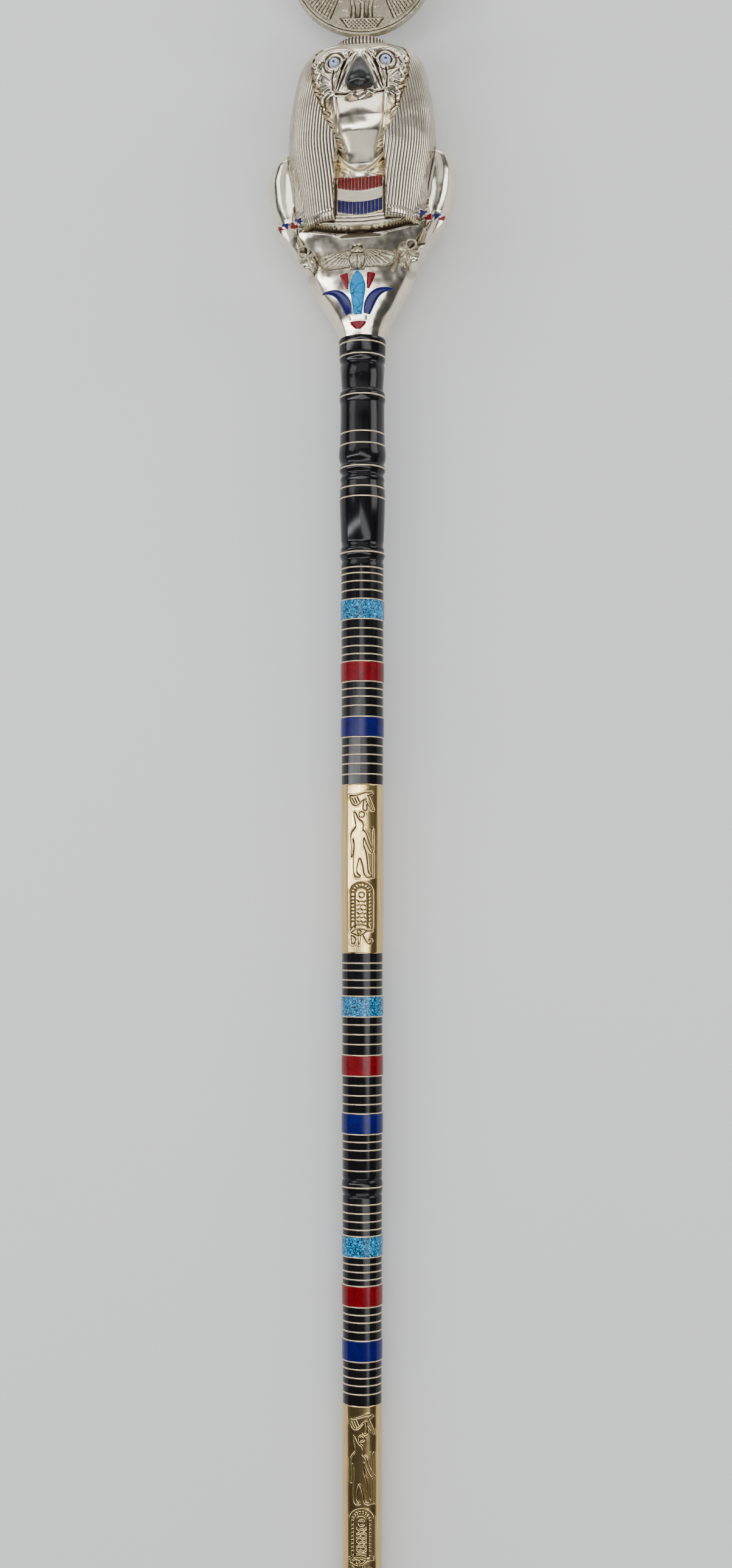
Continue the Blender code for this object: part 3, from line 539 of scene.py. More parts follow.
def front_columns(h, pitch):
    """The x of every point of the front rows at heights h, with the strands' grooves along the columns."""
    width = half_width(h)
    outer = np.minimum(along(wig_line, h), 0.9995 * width)
    outer = np.where(h < lappet_end, np.minimum(outer, 0.93 * width), outer)
    inner = np.minimum(np.minimum(along(face_line, h), 0.75 * width), 0.8 * outer)
    middle = np.linspace(0, 1, middle_columns + 1) * (inner - edge)
    count = strand_columns * front_strands
    number = np.arange(count + 1)[None]
    run = number * pitch / strand_columns
    follow = set_along(outer, along(wig_depth, h), run[0])
    lowest = inner - 0.3 + 0.8 * (count - number) / count
    even = outer + (inner + edge - outer) * number / count
    on_wig = smooth(50, 58, h)
    lappet = on_wig * np.maximum(follow, lowest) + (1 - on_wig) * even
    arm = outer + (width - outer) * np.sin(np.linspace(0, math.pi / 2, arm_columns + 1))[None, 1:]
    grooves = groove(number / strand_columns) * (follow > inner + 0.2)
    right = np.concatenate([middle, lappet[:, ::-1], arm], axis=1)
    cut = np.concatenate([0 * middle, grooves[:, ::-1] + 0 * h, 0 * arm], axis=1)
    both = np.concatenate([-right[:, :0:-1], right], axis=1)
    return both, np.concatenate([cut[:, :0:-1], cut], axis=1)


def rear_columns(h, pitch):
    """The x of every point of the back rows, from right to left, spaced along the strands."""
    width = half_width(h)
    deep = along(wig_back_share, h) * wig_back
    total = math.pi / 2 * np.sqrt((width**2 + deep**2) / 2) * 1.04
    number = np.arange(back_columns * back_strands)[None]
    run = number * pitch / back_columns
    whole = number.size * pitch / back_columns
    run = np.where(h > wig_back_end - 4, run, run * total / whole)
    rows = []
    turn = np.linspace(math.pi / 2, 0, 240)
    for wide, back, runs in zip(width[:, 0], deep[:, 0], run):
        x, z = wide * np.cos(turn) ** (2 / wig_power), back * np.sin(turn) ** (2 / wig_power)
        length = np.concatenate([[0], np.cumsum(np.hypot(np.diff(x), np.diff(z)))])
        rows.append(np.interp(runs, length, x))
    side = np.minimum(np.array(rows), width * (0.9992 - 0.02 * (number[:, ::-1] + 1) / number.size))
    cut = groove(number / back_columns) * (side < np.minimum(0.97 * width, along(wig_line, h)))
    both = np.concatenate([side[:, :0:-1], -side], axis=1)
    return both, np.concatenate([cut[:, :0:-1], cut], axis=1)


# Carved lines of the falcon's face as (distance from the middle, height): raised, then cut
raised_lines = (
    (((2.0, 150.6), (5.4, 146.4), (8.0, 141.5), (9.4, 136.8), (11.0, 132.6), (12.4, 129.4)), 0.75, 1.0),
    (((4.4, 151.0), (9.5, 145.6), (11.2, 140.0), (12.6, 134.0), (13.4, 129.6)), 0.6, 0.8),
    (((15.7, 136.3), (18.7, 139.8), (21.4, 142.0), (23.2, 139.3), (23.6, 136.3), (21.6, 134.0),
      (18.2, 134.2)), 0.75, 1.1),
    (((16.0, 131.6), (19.4, 131.0), (21.8, 128.6), (20.6, 125.4)), 0.7, 0.9),
    (((4.6, 151.6), (9.0, 153.4), (14.2, 153.9), (19.0, 152.2), (22.6, 148.4), (24.2, 143.2)), 1.0, 0.9),
)
cut_lines = (
    (((13.2, 128.0), (8.4, 127.0), (5.2, 127.8), (2.6, 126.4), (0, 125.8)), 0.55, 1.5),
    (((7.0, 147.4), (9.8, 141.0), (11.4, 135.0), (12.6, 130.6)), 0.35, 0.9),
    (((14.6, 140.6), (15.2, 136.0), (14.8, 130.4)), 0.45, 1.0),
    (((13.6, 127.2), (12.9, 118.0), (12.0, 110.0)), 0.6, 0.25),
    (((18.5, 147.8), (21.2, 148.6), (22.8, 145.4)), 0.45, 0.7),
    (((17.4, 128.2), (19.6, 127.0), (19.6, 122.8), (17.0, 120.6)), 0.5, 0.7),
)


def face_carving(x, h):
    side = np.abs(x)
    inside = (
        (1 - smooth(-0.6, 0.2, side - along(face_line, h))) * smooth(84, 90, h) * (1 - smooth(155.5, 157, h))
    )
    total = np.zeros_like(side)
    for points, width, rise in raised_lines:
        total += rise * stroke(side, h, points, width)
    for points, width, fall in cut_lines:
        total -= fall * stroke(side, h, points, width)
    from_eye = np.hypot(side - eye_side, h - eye_height)
    total -= 0.9 * np.exp(-(((from_eye - 3.1) / 0.45) ** 2)) + 0.6 * np.exp(-(((from_eye - 6.0) / 0.6) ** 2))
    # Small overlapping feathers along the edge of the wig
    row = along(face_line, h) - 2.0 - side
    scale = np.abs(np.sin(math.pi * (h + 0.8 * row) / 3.1))
    ruff = np.exp(-((row / 1.5) ** 2)) * smooth(96, 104, h) * (1 - smooth(148, 153, h))
    total += ruff * (0.85 * scale - 0.4) * (0.75 + 0.35 * np.sin(0.9 * h + 2 * np.sign(x)))
    # Fine striations between the beak and the eye
    lore = stroke(side, h, ((5.2, 149.0), (9.4, 142.5), (11.2, 136.5), (12.4, 131.0)), 2.2)
    total += 0.22 * lore * np.sin(math.tau * (side * 0.9 + (h - 140) * 0.42) / 1.25)
    return total * inside


def front_carving(x, h, grooves, cut):
    """What the fine carving adds to the bust's front, square to its surface, in millimetres."""
    wig = wig_mask(x, h)
    plain = np.maximum(
        smooth(-0.6, 0.2, h - brow_height) * (1 - smooth(24, 27, np.abs(x))),
        1 - smooth(3.4, 4.0, h - lappet_end),
    )
    hem = 0.3 * (1 - smooth(2.8, 3.5, h - lappet_end))
    hem = hem - 0.35 * np.exp(-(((h - lappet_end - 3.9) / 0.4) ** 2))
    total = -cut * grooves * wig * (1 - plain) + hem * wig
    # Fingers closed round the looped crosses
    side = np.abs(x - belly_shift * 0.5)
    fist = np.exp(-(((side - 30.5) / 4.2) ** 4)) * np.exp(-(((h - 40.5) / 5.0) ** 4))
    total -= fist * 0.55 * (1 - np.abs(np.sin(math.pi * (h + 0.35 * side) / 2.7))) ** 2
    # A bead along the chest's border
    border = np.exp(-(((h - 53.2 - 0.006 * x * x) / 0.55) ** 2)) * (1 - smooth(33, 37, np.abs(x)))
    return total + 0.5 * border


def make_falcon_bust(settings):
    h = np.concatenate([np.linspace(low, high, count, endpoint=False) for low, high, count in row_spans])
    h = np.append(h, dome_top)[:, None]
    pitch, cut = settings.strand_pitch, settings.strand_depth
    front, front_grooves = front_columns(h, pitch)
    back, back_grooves = rear_columns(h, pitch)
    # The face is a finer skin of its own, so the bust lies lower behind it
    behind_face = (1 - smooth(-0.4, 0.2, np.abs(front) - along(face_line, h)))
    behind_face = behind_face * smooth(face_foot + 0.8, face_foot + 2.4, h) * (1 - smooth(156.2, 156.8, h))
    front_base = front_depth(front, h) - 1.8 * behind_face
    behind = back_depth_at(back, h)
    grid = np.concatenate([bust_point(back, h, -behind), bust_point(front, h, front_base)], axis=1)
    facing = normals(grid, wrap=True)
    on_wig = smooth(-0.3, 0.3, h - wig_back_end) * (1 - smooth(0.985, 1.0, h / dome_top))
    carved = front_carving(front, h, front_grooves, cut)
    carved = carved * smooth(0.2, 0.55, -facing[:, back.shape[1]:, 1])
    moves = np.concatenate([-cut * back_grooves * on_wig, carved], axis=1)
    grid = grid + facing * moves[..., None] * MM
    bust = skin("cast_falcon_bust", grid, wrap=True)
    # Patina and painted shade in the hollows, halved on the wig and weaker on the arms and low on the belly,
    # with painted shade along the grooves between strands
    sunken = hollowness(grid, facing, wrap=True)
    strands = np.concatenate([back_grooves * on_wig, front_grooves * wig_mask(front, h)], axis=1)
    on_arm = np.concatenate([0 * back, smooth(0, 1, np.abs(front) - along(wig_line, h) - 0.6)], axis=1)
    sunken = sunken * (1 - 0.5 * np.sign(strands)) * (1 - 0.7 * on_arm) * (0.35 + 0.65 * smooth(32, 46, h))
    paint(bust, "hollow", np.maximum(sunken, 0.95 * strands**0.6))
    return bust


face_foot = 83.0


def make_face():
    """The falcon's face and throat: a finer skin between the edges of the wig."""
    h = np.linspace(face_foot, brow_height + 0.6, 230)[:, None]
    x = np.linspace(-1, 1, 261)[None] * (along(face_line, h) + 0.3)
    body = body_front(x, h)
    depth = body + smooth(80, 86, h) * (face_front(x, h) - body) - 1.2 * (1 - smooth(0, 1.4, h - face_foot))
    top = bust_point(x, h, depth)
    facing = normals(top, wrap=False, sheet=True)
    top = top + facing * face_carving(x, h)[..., None] * MM
    edges = [0, -1]
    under = bust_point(x[:, edges], h + 0 * x[:, edges], depth[:, edges] - 2.5)[:, ::-1]
    grid = np.concatenate([top, under], axis=1)
    face = skin("falcon_face", grid, wrap=True)
    # Patina and painted shade in the hollows of the face
    sunken = np.zeros(grid.shape[:2])
    sunken[:, :-2] = hollowness(top, facing, wrap=False)
    paint(face, "hollow", sunken)
    tidy_faces(face)
    return face


def make_crown():
    """The pleated ring on the head and the stub that holds the disc."""
    pleats, per_pleat = 46, 6
    turn = np.linspace(0, math.tau, pleats * per_pleat, endpoint=False)
    wave = 0.5 + 0.5 * np.cos(turn * pleats)
    levels = (
        (crown_radius - 0.2, dome_top - 2.6, 1), (crown_radius, dome_top - 1.0, 1),
        (crown_radius, dome_top + 0.9, 1),
        (crown_radius, bust_top - 1.2, 1),
        (crown_radius - 0.5, bust_top - 0.5, 1), (crown_radius - 1.4, bust_top - 0.1, 0.7),
        (crown_radius - 2.6, bust_top - 0.3, 0.1), (boss_radius + 1.4, bust_top - 0.2, 0),
        (boss_radius, bust_top + 0.5, 0), (boss_radius * 0.95, boss_top - 1.4, 0),
        (boss_radius * 0.7, boss_top - 1.3, 0),
    )
    rows = []
    for radius, h, pleated in levels:
        r = radius - 0.75 * pleated * (1 - wave)
        rows.append(bust_point(r * np.sin(turn), np.full_like(turn, h), r * np.cos(turn)))
    grid = np.array(rows)
    crown = skin("pleated_crown", grid, wrap=True)
    # Patina and painted shade in the grooves between the pleats
    sunk = np.array([pleated for _, _, pleated in levels])[:, None] * (1 - wave)[None]
    paint(crown, "hollow", sunk)
    return crown


def inlay_rings(left, right, crown, across=11, room=1.1):
    """Rows of a cushion-shaped inlay between two edges, each a list of (x, height)."""
    share = np.linspace(0, 1, across)
    puff = (1 - np.abs(2 * share - 1) ** 3) ** (1 / 3)
    rows = []
    for start, end in zip(left, right):
        x, h = start[0] + (end[0] - start[0]) * share, start[1] + (end[1] - start[1]) * share
        surface = front_depth(x, h)
        top = bust_point(x, h, surface + 0.1 + (0.4 + crown) * puff)
        under = bust_point(x, h, surface - room)[::-1]
        rows.append(np.concatenate([top, under]))
    return np.array(rows)


def petal(name, spine, widths, crown=0.9):
    spine = np.array(spine, float)
    heading = np.gradient(spine, axis=0)
    heading /= np.linalg.norm(heading, axis=1)[:, None]
    sideways = np.stack([heading[:, 1], -heading[:, 0]], 1)
    widths = np.asarray(widths)[:, None]
    piece = skin(name, inlay_rings(spine - sideways * widths, spine + sideways * widths, crown), wrap=True)
    tidy_faces(piece)
    return piece


tile_start, tile_step, tile_half, tile_point, tile_edge, tile_tall = 0.86, 0.44, 0.23, 0.03, 0.985, 1.7


def make_tile(name, side, number):
    """One wedge of an armlet; each one points the other way from the last."""
    share = np.linspace(0, 1, 9)
    half = tile_half + (tile_point - tile_half) * (1 - share if number % 2 else share)
    h = armlet_height - tile_tall + 2 * tile_tall * share
    middle = tile_start - tile_step * number
    outer = half_width(h)
    left, right = [
        np.stack([side * (outer - arm_radius * (1 - np.clip(middle + way * half, -1, tile_edge))), h], 1)
        for way in (-1, 1)
    ]
    tile = skin(name, inlay_rings(left, right, 0.0), wrap=True)
    tidy_faces(tile)
    return tile


def collar_bar(name, low, high, start, end, rise):
    """A raised bar on a collar strip, from one share of its half width to another."""
    rows = []
    for height in np.linspace(low, high, 9):
        share = np.linspace(start, end, 9)
        bulge = np.sqrt(np.clip(1 - np.linspace(-1, 1, 9) ** 2, 0, 1))
        ends = 1 - abs((height - (low + high) / 2) / (high - low) * 2) ** 6
        x, h = share * strip_half_width, height + strip_rise * share * share
        surface = front_depth(x, h)
        top = bust_point(x, h, surface + 0.1 + rise * bulge * (0.35 + 0.65 * ends))
        rows.append(np.concatenate([top, bust_point(x, h, surface - 0.9)[::-1]]))
    bar = skin(name, np.array(rows), wrap=True)
    tidy_faces(bar)
    return bar


def joined(name, pieces):
    select_only(pieces[0])
    for piece in pieces:
        piece.select_set(True)
    bpy.ops.object.join()
    pieces[0].name = name
    return pieces[0]


def on_bust(x, h, above):
    return Vector(bust_point(x, h, float(front_depth(x, h)) + above))


def eye_stand(side):
    """Where an eye sits: its middle, turned so that its axis stands square to the face."""
    x, h, step = side * eye_side, eye_height, 1.0
    across = on_bust(x + step, h, 0) - on_bust(x - step, h, 0)
    up = on_bust(x, h + step, 0) - on_bust(x, h - step, 0)
    turn = across.cross(up).normalized().to_track_quat("Z", "Y").to_matrix().to_4x4()
    return Matrix.Translation(on_bust(x, h, 0.25)) @ turn


def make_eye(name, side):
    bpy.ops.object.select_all(action="DESELECT")
    bpy.ops.mesh.primitive_uv_sphere_add(segments=96, ring_count=64, radius=0.00275)
    eye = bpy.context.object
    eye.name = name
    bpy.ops.object.mode_set(mode="EDIT")
    bpy.ops.transform.resize(value=(1, 1, 0.66))
    bpy.ops.object.mode_set(mode="OBJECT")
    places = np.array([v.co for v in eye.data.vertices])
    # The pupils look down and a little inwards, towards whoever holds the shaft
    away = np.hypot(places[:, 0] + 0.0005 * side, places[:, 1] + 0.0006) + 0.01 * (places[:, 2] < 0)
    paint(eye, "pupil", 1 - smooth(0.00062, 0.00085, away))
    eye.matrix_world = eye_stand(side)
    return eye


beak_top, beak_tip, beak_width, beak_reach = 147.6, 127.5, 16.0, 8.2
beak_half = ((0, 0.14), (0.2, 0.46), (0.5, 0.80), (0.74, 1.0), (0.9, 0.86), (1, 0.34))
beak_out = ((0, 0.14), (0.3, 0.60), (0.6, 0.94), (0.8, 1.0), (1, 0.70))


def make_beak():
    rows = []
    turn = np.linspace(-math.pi / 2, math.pi / 2, 41)
    for share in np.concatenate([np.linspace(0, 0.9, 28), np.linspace(0.92, 1, 8)]):
        h = beak_top - (beak_top - beak_tip) * share
        half = beak_width / 2 * float(along(beak_half, share))
        reach = beak_reach * float(along(beak_out, share))
        face = float(front_depth(0.0, max(h, beak_tip + 4)))
        beside = ((np.abs(np.sin(turn)) - 0.55) / 0.14) ** 2
        nostril = 0.55 * np.exp(-beside - ((share - 0.30) / 0.05) ** 2)
        ridge = 0.25 * np.exp(-((np.sin(turn) / 0.12) ** 2))
        front = face + reach * np.cos(turn) ** 0.8 + (ridge - nostril) * np.cos(turn)
        back = bust_point(np.array([half, -half]) * 0.9, h, face - 2.2)
        rows.append(np.concatenate([bust_point(half * np.sin(turn), h, front), back]))
    beak = skin("black_beak", np.array(rows), wrap=True)
    tidy_faces(beak)
    return beak


def make_scarab():
    """A beetle with a round head between two drooping feathered wings, carved in low relief."""
    half, tall, thick = 23.0, 15.0, 1.6
    u = np.linspace(-1, 1, 181)[:, None]
    v = np.linspace(0, 1, 41)[None]
    side = np.abs(u)
    wing_low = -0.42 * tall + 0.38 * tall * np.clip((side - 0.62) / 0.38, 0, None) ** 2
    wing_high = (
        0.24 * tall - 0.12 * tall * (side - 0.19) - 0.18 * tall * np.clip((side - 0.8) / 0.2, 0, None) ** 2
    )
    on_body = 1 - smooth(0.165, 0.185, side)
    low = wing_low + on_body * (-0.5 * tall - wing_low)
    high = wing_high + on_body * (0.5 * tall * np.cos(side * 4) - wing_high)
    x = belly_shift + u * half + 0 * v
    h = 41.0 + low + (high - low) * v
    rise = thick * (1 - np.abs(2 * v - 1) ** 5) ** 0.5 * (1 - smooth(0.93, 1.0, side)) + 0 * u
    # Feathers fan from the body's shoulder; a lower row is longer than the covering one
    dx, dh = np.abs(x - belly_shift) - 2.0, h - 45.5
    fan = np.arctan2(dh, dx)
    from_root = np.hypot(dx, dh)
    tier = smooth(0, 0.6, from_root - 9.5 - 3.0 * np.cos(fan * 3))
    ribs = np.abs(np.sin(fan * 22)) ** 0.7
    wings = (1 - on_body) * (0.30 * ribs - 0.35 * tier + 0.15)
    # The beetle: head, neck shield and two wing cases
    away = np.hypot((x - belly_shift) / 4.3, (h - 38.6) / 5.2)
    case = (
        2.0 * np.sqrt(np.clip(1 - away**2, 0, 1))
        - 0.5 * np.exp(-(((x - belly_shift) / 0.28) ** 2)) * (h < 41)
    )
    shield = 1.9 * np.sqrt(np.clip(1 - np.hypot((x - belly_shift) / 3.6, (h - 43.4) / 2.6) ** 2, 0, 1))
    head = 1.7 * np.sqrt(
        np.clip(1 - np.hypot((np.abs(x - belly_shift) - 1.2) / 1.5, (h - 46.6) / 1.6) ** 2, 0, 1)
    )
    legs = 0.5 * stroke(np.abs(x - belly_shift), h, ((1.5, 47.5), (3.2, 46.0), (3.6, 42.0)), 0.5)
    relief = rise + wings * (rise > 0.4) + on_body * (np.maximum(np.maximum(case, shield), head) + legs)
    surface = front_depth(x, h)
    top = bust_point(x, h, surface + relief)
    facing = normals(top, wrap=False, sheet=True)
    under = bust_point(x[:, ::-1], h[:, ::-1], surface[:, ::-1] - 0.7)
    grid = np.concatenate([top, under[:, [0, -1]]], axis=1)
    scarab = skin("winged_beetle", grid, wrap=True)
    # Patina and painted shade in the beetle's hollows; its outline and underside are painted dark as well
    hollow = np.zeros(grid.shape[:2])
    hollow[:, :41] = hollowness(top, facing, wrap=False, fine=0.00009, broad=0.0006)
    hollow[:, 0] = hollow[:, 40] = hollow[:, 41:] = 0.8
    paint(scarab, "hollow", hollow)
    tidy_faces(scarab)
    return scarab


def make_ankh(name, side):
    """A looped cross held in a fist, built flat and then stood on the hand."""
    length, thick = 16.5, 1.5
    top = np.array([belly_shift + side * 30.9, 47.9])
    down = np.array([-side * 0.436, -0.900])
    aside = np.array([down[1], -down[0]])
    far, wide = np.meshgrid(np.linspace(0, length, 12), np.linspace(-0.2, 0.2, 5) * length)
    spots = top[:, None, None] + down[:, None, None] * far + aside[:, None, None] * wide
    depth = float(front_depth(*spots).max()) + gap / MM
    loop = []
    for turn in np.linspace(0, math.tau, 48, endpoint=False):
        middle = np.array(
            [0.22 * (1 - math.cos(turn)), 0.25 * math.sin(turn) * (0.82 + 0.18 * math.cos(turn))]
        )
        middle = np.array([0.22, 0]) + (middle - np.array([0.22, 0])) * 0.78
        out = (middle - np.array([0.22, 0])) / np.linalg.norm(middle - np.array([0.22, 0]))
        ring = []
        for roll in np.linspace(0, math.tau, 10, endpoint=False):
            spot = middle + out * 0.042 * math.cos(roll)
            ring.append((*(spot * length), thick / 2 + thick * 0.5 * math.sin(roll)))
        loop.append(ring)
    loop.append(loop[0])
    shapes = [(np.array(loop), False)]
    for low, high, start, end, lies in ((0.41, 1.0, 0.050, 0.080, True), (-0.29, 0.29, 0.055, 0.055, False)):
        bar = []
        for share in np.linspace(0, 1, 9):
            place, half = low + (high - low) * share, start + (end - start) * share
            half *= 1 + 0.5 * abs(2 * share - 1) ** 3 if not lies else 1
            ring = []
            for a, b in ((-1, 0.0), (-1, 0.75), (-0.7, 1.0), (0.7, 1.0), (1, 0.75), (1, 0.0)):
                spot = (place, a * half) if lies else (0.46 + a * half, place)
                ring.append((spot[0] * length, spot[1] * length, b * thick * 0.96))
            bar.append(ring)
        shapes.append((np.array(bar), True))
    pieces = []
    for number, (shape, ends) in enumerate(shapes):
        spot = top + shape[..., :1] * down + shape[..., 1:2] * aside
        grid = bust_point(spot[..., 0], spot[..., 1], depth + shape[..., 2])
        piece = skin(f"{name}_{number}", grid, wrap=True, ends=ends)
        tidy_faces(piece)
        pieces.append(piece)
    return joined(name, pieces)


# The disc


def bird_relief(x, z, feathers):
    """Height of a spread bird on a basket, from 0 on the plate to 1, in millimetres from the centre."""
    side = np.abs(x)
    radius = np.hypot(x, z)
    total = np.zeros_like(x)
    # Wings: long feathers below a covering row, fanned from the shoulder
    dx, dz = side - 2.0, z - 8.0
    fan, out = np.degrees(np.arctan2(dz, dx)), np.hypot(dx, dz)
    tip = 36.2 - 2.2 * smooth(-60, -80, fan)
    long_feathers = (
        smooth(-0.4, 0.4, tip - radius) * smooth(-68, -66, fan) * (1 - smooth(26, 28, fan)) * (side > 3.2)
    )
    rib = np.abs(np.sin(math.pi * (fan + 68) / 96 * feathers))
    total = np.maximum(total, long_feathers * (0.30 + 0.32 * rib**0.8))
    inner = (
        smooth(-0.3, 0.3, 26.8 - radius) * smooth(-62, -60, fan) * (1 - smooth(30, 32, fan)) * (side > 3.2)
    )
    rib = np.abs(np.sin(math.pi * (fan + 62) / 94 * feathers * 0.8))
    edge_line = np.exp(-(((radius - 26.2) / 0.5) ** 2))
    total = np.maximum(total, inner * (0.52 + 0.22 * rib + 0.2 * edge_line))
    shoulder = (
        smooth(-0.3, 0.3, 15.5 - out) * smooth(-58, -54, fan) * (1 - smooth(40, 44, fan)) * (side > 2.6)
    )
    scales = np.abs(np.sin(out * 1.6)) * np.abs(np.sin(math.radians(1) * fan * 9))
    total = np.maximum(total, shoulder * (0.72 + 0.2 * scales))
    # Body, thighs, head and tail
    body = np.sqrt(np.clip(1 - (x / 5.2) ** 2 - ((z - 2) / 12.5) ** 2, 0, 1))
    total = np.maximum(total, 0.95 * body + 0.12 * (body > 0.2) * np.sin(z * 3.2 + 4 * np.abs(x)))
    total = np.maximum(total, 0.9 * np.sqrt(np.clip(1 - (x / 3.6) ** 2 - ((z - 17.6) / 3.8) ** 2, 0, 1)))
    total = np.maximum(total, 0.75 * stroke(x, z, ((0, 17.5), (3.4, 17.2), (4.6, 15.8)), 0.9))
    for place in (-4.8, 0.2, 4.6):
        top = (place * 1.9, -12.0) if abs(place) > 1 else (0, -9.0)
        leg = stroke(x, z, (top, (place * 1.25, -18.0), (place, -24.5), (place, -29.6)), 0.75)
        foot = stroke(x, z, ((place, -29.2), (place, -30.6)), 1.15)
        total = np.maximum(total, 0.8 * leg + 0.5 * foot)
    vee = stroke(side, z, ((0.2, -21.5), (3.2, -17.4), (5.6, -15.6)), 0.6)
    total = np.maximum(total, 0.6 * vee)
    # Small sun over the head
    total = np.maximum(total, 0.85 * smooth(-0.3, 0.5, 5.2 - np.hypot(x, z - 26.0)))
    total -= 0.3 * np.exp(-(((np.hypot(x, z - 26.0) - 4.0) / 0.35) ** 2))
    # Basket with a plaited front
    width = 6.2 + (z + 37.6) * 0.82
    basket = smooth(-0.3, 0.3, width - side) * smooth(-37.9, -37.3, z) * (1 - smooth(-31.0, -30.4, z))
    warp, weft = np.sin(x * 2.9), np.sin(z * 2.9)
    weave = 0.5 + 0.5 * np.sign(warp) * np.sign(weft) * np.abs(warp * weft)
    lip = np.exp(-(((z + 31.4) / 0.6) ** 2))
    total = np.where(
        basket > 0, np.maximum(total * (z > -30.9), basket * (0.45 + 0.4 * weave + 0.35 * lip)), total
    )
    return total * smooth(0.0, 0.6, 36.9 - radius)


# Raised rings of the disc's back, as (radius, share of their rise)
back_rings = ((24.0, 0), (23.5, 1), (21.5, 1), (21.0, 0), (9, 0), (8.5, 1), (2, 1), (0.25, 1))


def make_disc(settings):
    """Rings of points from the middle of the front, over the rim, to the middle of the back."""
    outer, inner = disc_radius / MM, (disc_radius - disc_rim_width) / MM
    half, lip = disc_thickness / MM / 2, disc_rim_height / MM
    turn = np.linspace(0, math.tau, 520, endpoint=False)[None]
    front_radius = np.linspace(inner - 0.05, 0.25, 132)[:, None]
    x, z = front_radius * np.sin(turn), front_radius * np.cos(turn)
    plate = 0.10 * np.sin(x * 1.7 + 2 * np.sin(z * 0.9)) * np.sin(z * 1.3)
    height = half + 0.12 * plate * 0.3 + settings.relief / MM * bird_relief(x, z, settings.feathers)
    rim_line = (
        (inner, 0.0), (inner + 0.25, 0.55), (inner + 0.6, 0.95), (inner + 1.0, 1.0), (inner + 1.35, 0.8),
        (inner + 1.6, 0.35), (inner + 1.85, 0.35), (inner + 2.1, 0.8), (inner + 2.6, 1.0),
        (outer - 0.3, 0.8),
        (outer - 0.05, 0.2), (outer, -0.4),
    )
    front = np.stack([x, -height, z], -1)
    side_rows = [(r, half + lip * rise) for r, rise in rim_line[::-1]]
    back_rows = [(r, -half - lip * rise) for r, rise in rim_line]
    back_rows = (
        back_rows[::-1] + [(inner - 0.4, -half)] + [(r, -half - 0.5 * rise) for r, rise in back_rings]
    )
    rows = [
        np.stack([radius * np.sin(turn[0]), np.full(turn.size, -depth), radius * np.cos(turn[0])], -1)
        for radius, depth in back_rows[::-1] + side_rows
    ]
    grid = np.array(rows + list(front)) * MM
    disc = skin("relief_sun_disc", grid, wrap=True)
    facing = normals(grid, wrap=True)
    # Patina and painted shade in the hollows of the relief
    paint(disc, "hollow", hollowness(grid, facing, wrap=True, fine=0.00009, broad=0.0008))
    crown_top = shaft_height + gap + boss_top * MM
    disc.location = (0, -disc_forward, crown_top - disc_in_boss + disc_radius)
    tidy_faces(disc)
    return disc


# The shaft


def shaft_radius(height):
    return shaft_foot_radius + (shaft_top_radius - shaft_foot_radius) * height / handle_height


# The turned handle from the bust down, as (height, radius) in millimetres
handle_turning = (
    (745.7, 13.1), (744.0, 13.25), (743.5, 12.95), (737.6, 12.9), (737.2, 12.6), (736.9, 12.75),
    (735.7, 12.9), (734.5, 12.75), (733.4, 12.55), (732.6, 12.15), (730.9, 12.1), (730.5, 12.45),
    (724.0, 11.95), (717.4, 11.6), (716.6, 11.75), (715.9, 12.5), (714.6, 12.8), (713.0, 12.85),
    (711.4, 12.75), (710.2, 12.4), (709.3, 12.2), (708.7, 12.3), (701.0, 12.25), (693.2, 12.35),
    (691.6, 12.45), (686.4, 12.55), (684.6, 12.8), (682.6, 13.05), (680.6, 13.1), (678.6, 12.95),
    (677.0, 12.5), (676.0, 12.0), (675.2, 11.9), (674.7, 12.4), (674.0, 12.65), (672.9, 12.75),
    (671.8, 12.65), (670.9, 12.3), (670.2, 11.8), (668.9, 11.75), (668.4, 12.0), (667.4, 12.3),
    (666.2, 12.25), (665.4, 11.95), (664.8, 12.0), (662.4, 12.45), (656.4, 12.7), (650.0, 12.55),
    (632.4, 11.85), (631.9, 11.6), (629.0, 11.6), (628.5, 11.95), (627.6, 12.15), (626.8, 12.0),
    (626.4, 11.9), (625.9, 12.35), (625.1, 12.5), (624.2, 12.45), (623.2, 12.2), (622.4, 11.8),
    (621.8, 11.5), (620.3, 11.5), (619.6, 11.85),
)
bead_turning = (
    (286.0, 0), (285.3, -0.1), (284.7, -0.5), (284.0, 0.0), (282.4, 0.3), (280.7, 0.4), (279.0, 0.3),
    (277.1, 0.0), (276.3, -0.5), (275.6, -0.1), (275.0, 0)
)
# Heights of the brass rings in millimetres; those that end the stone bands are added to these
ring_heights = (
    742.7, 735.7, 713.0, 692.2, 685.6, 672.9, 661.6, 655.9, 625.1, 616.6, 613.3, 608.8, 603.9,
    582.8, 578.1, 573.1, 568.7, 549.7, 545.3, 540.4, 518.6, 513.6, 508.6, 502.9,
    400.5, 396.5, 391.4, 387.3, 367.4, 362.2, 356.9, 335.0, 329.6, 324.9, 304.9, 300.5, 295.5, 289.6,
    280.7, 271.7, 267.1, 262.7, 258.5, 240.3, 236.3, 232.3, 213.8, 209.8, 204.9, 185.4, 180.9, 176.9, 172.4,
)


def turned_radius(height):
    """The shaft's radius in metres at a height in metres, over handle, bead and plain shaft."""
    if height > handle_turning[-1][0] * MM:
        places, radii = np.array(handle_turning[::-1]).T
        return float(np.interp(height / MM, places, radii)) * MM
    places, rises = np.array(bead_turning[::-1]).T
    return shaft_radius(height) + float(np.interp(height / MM, places, rises, 0, 0)) * MM


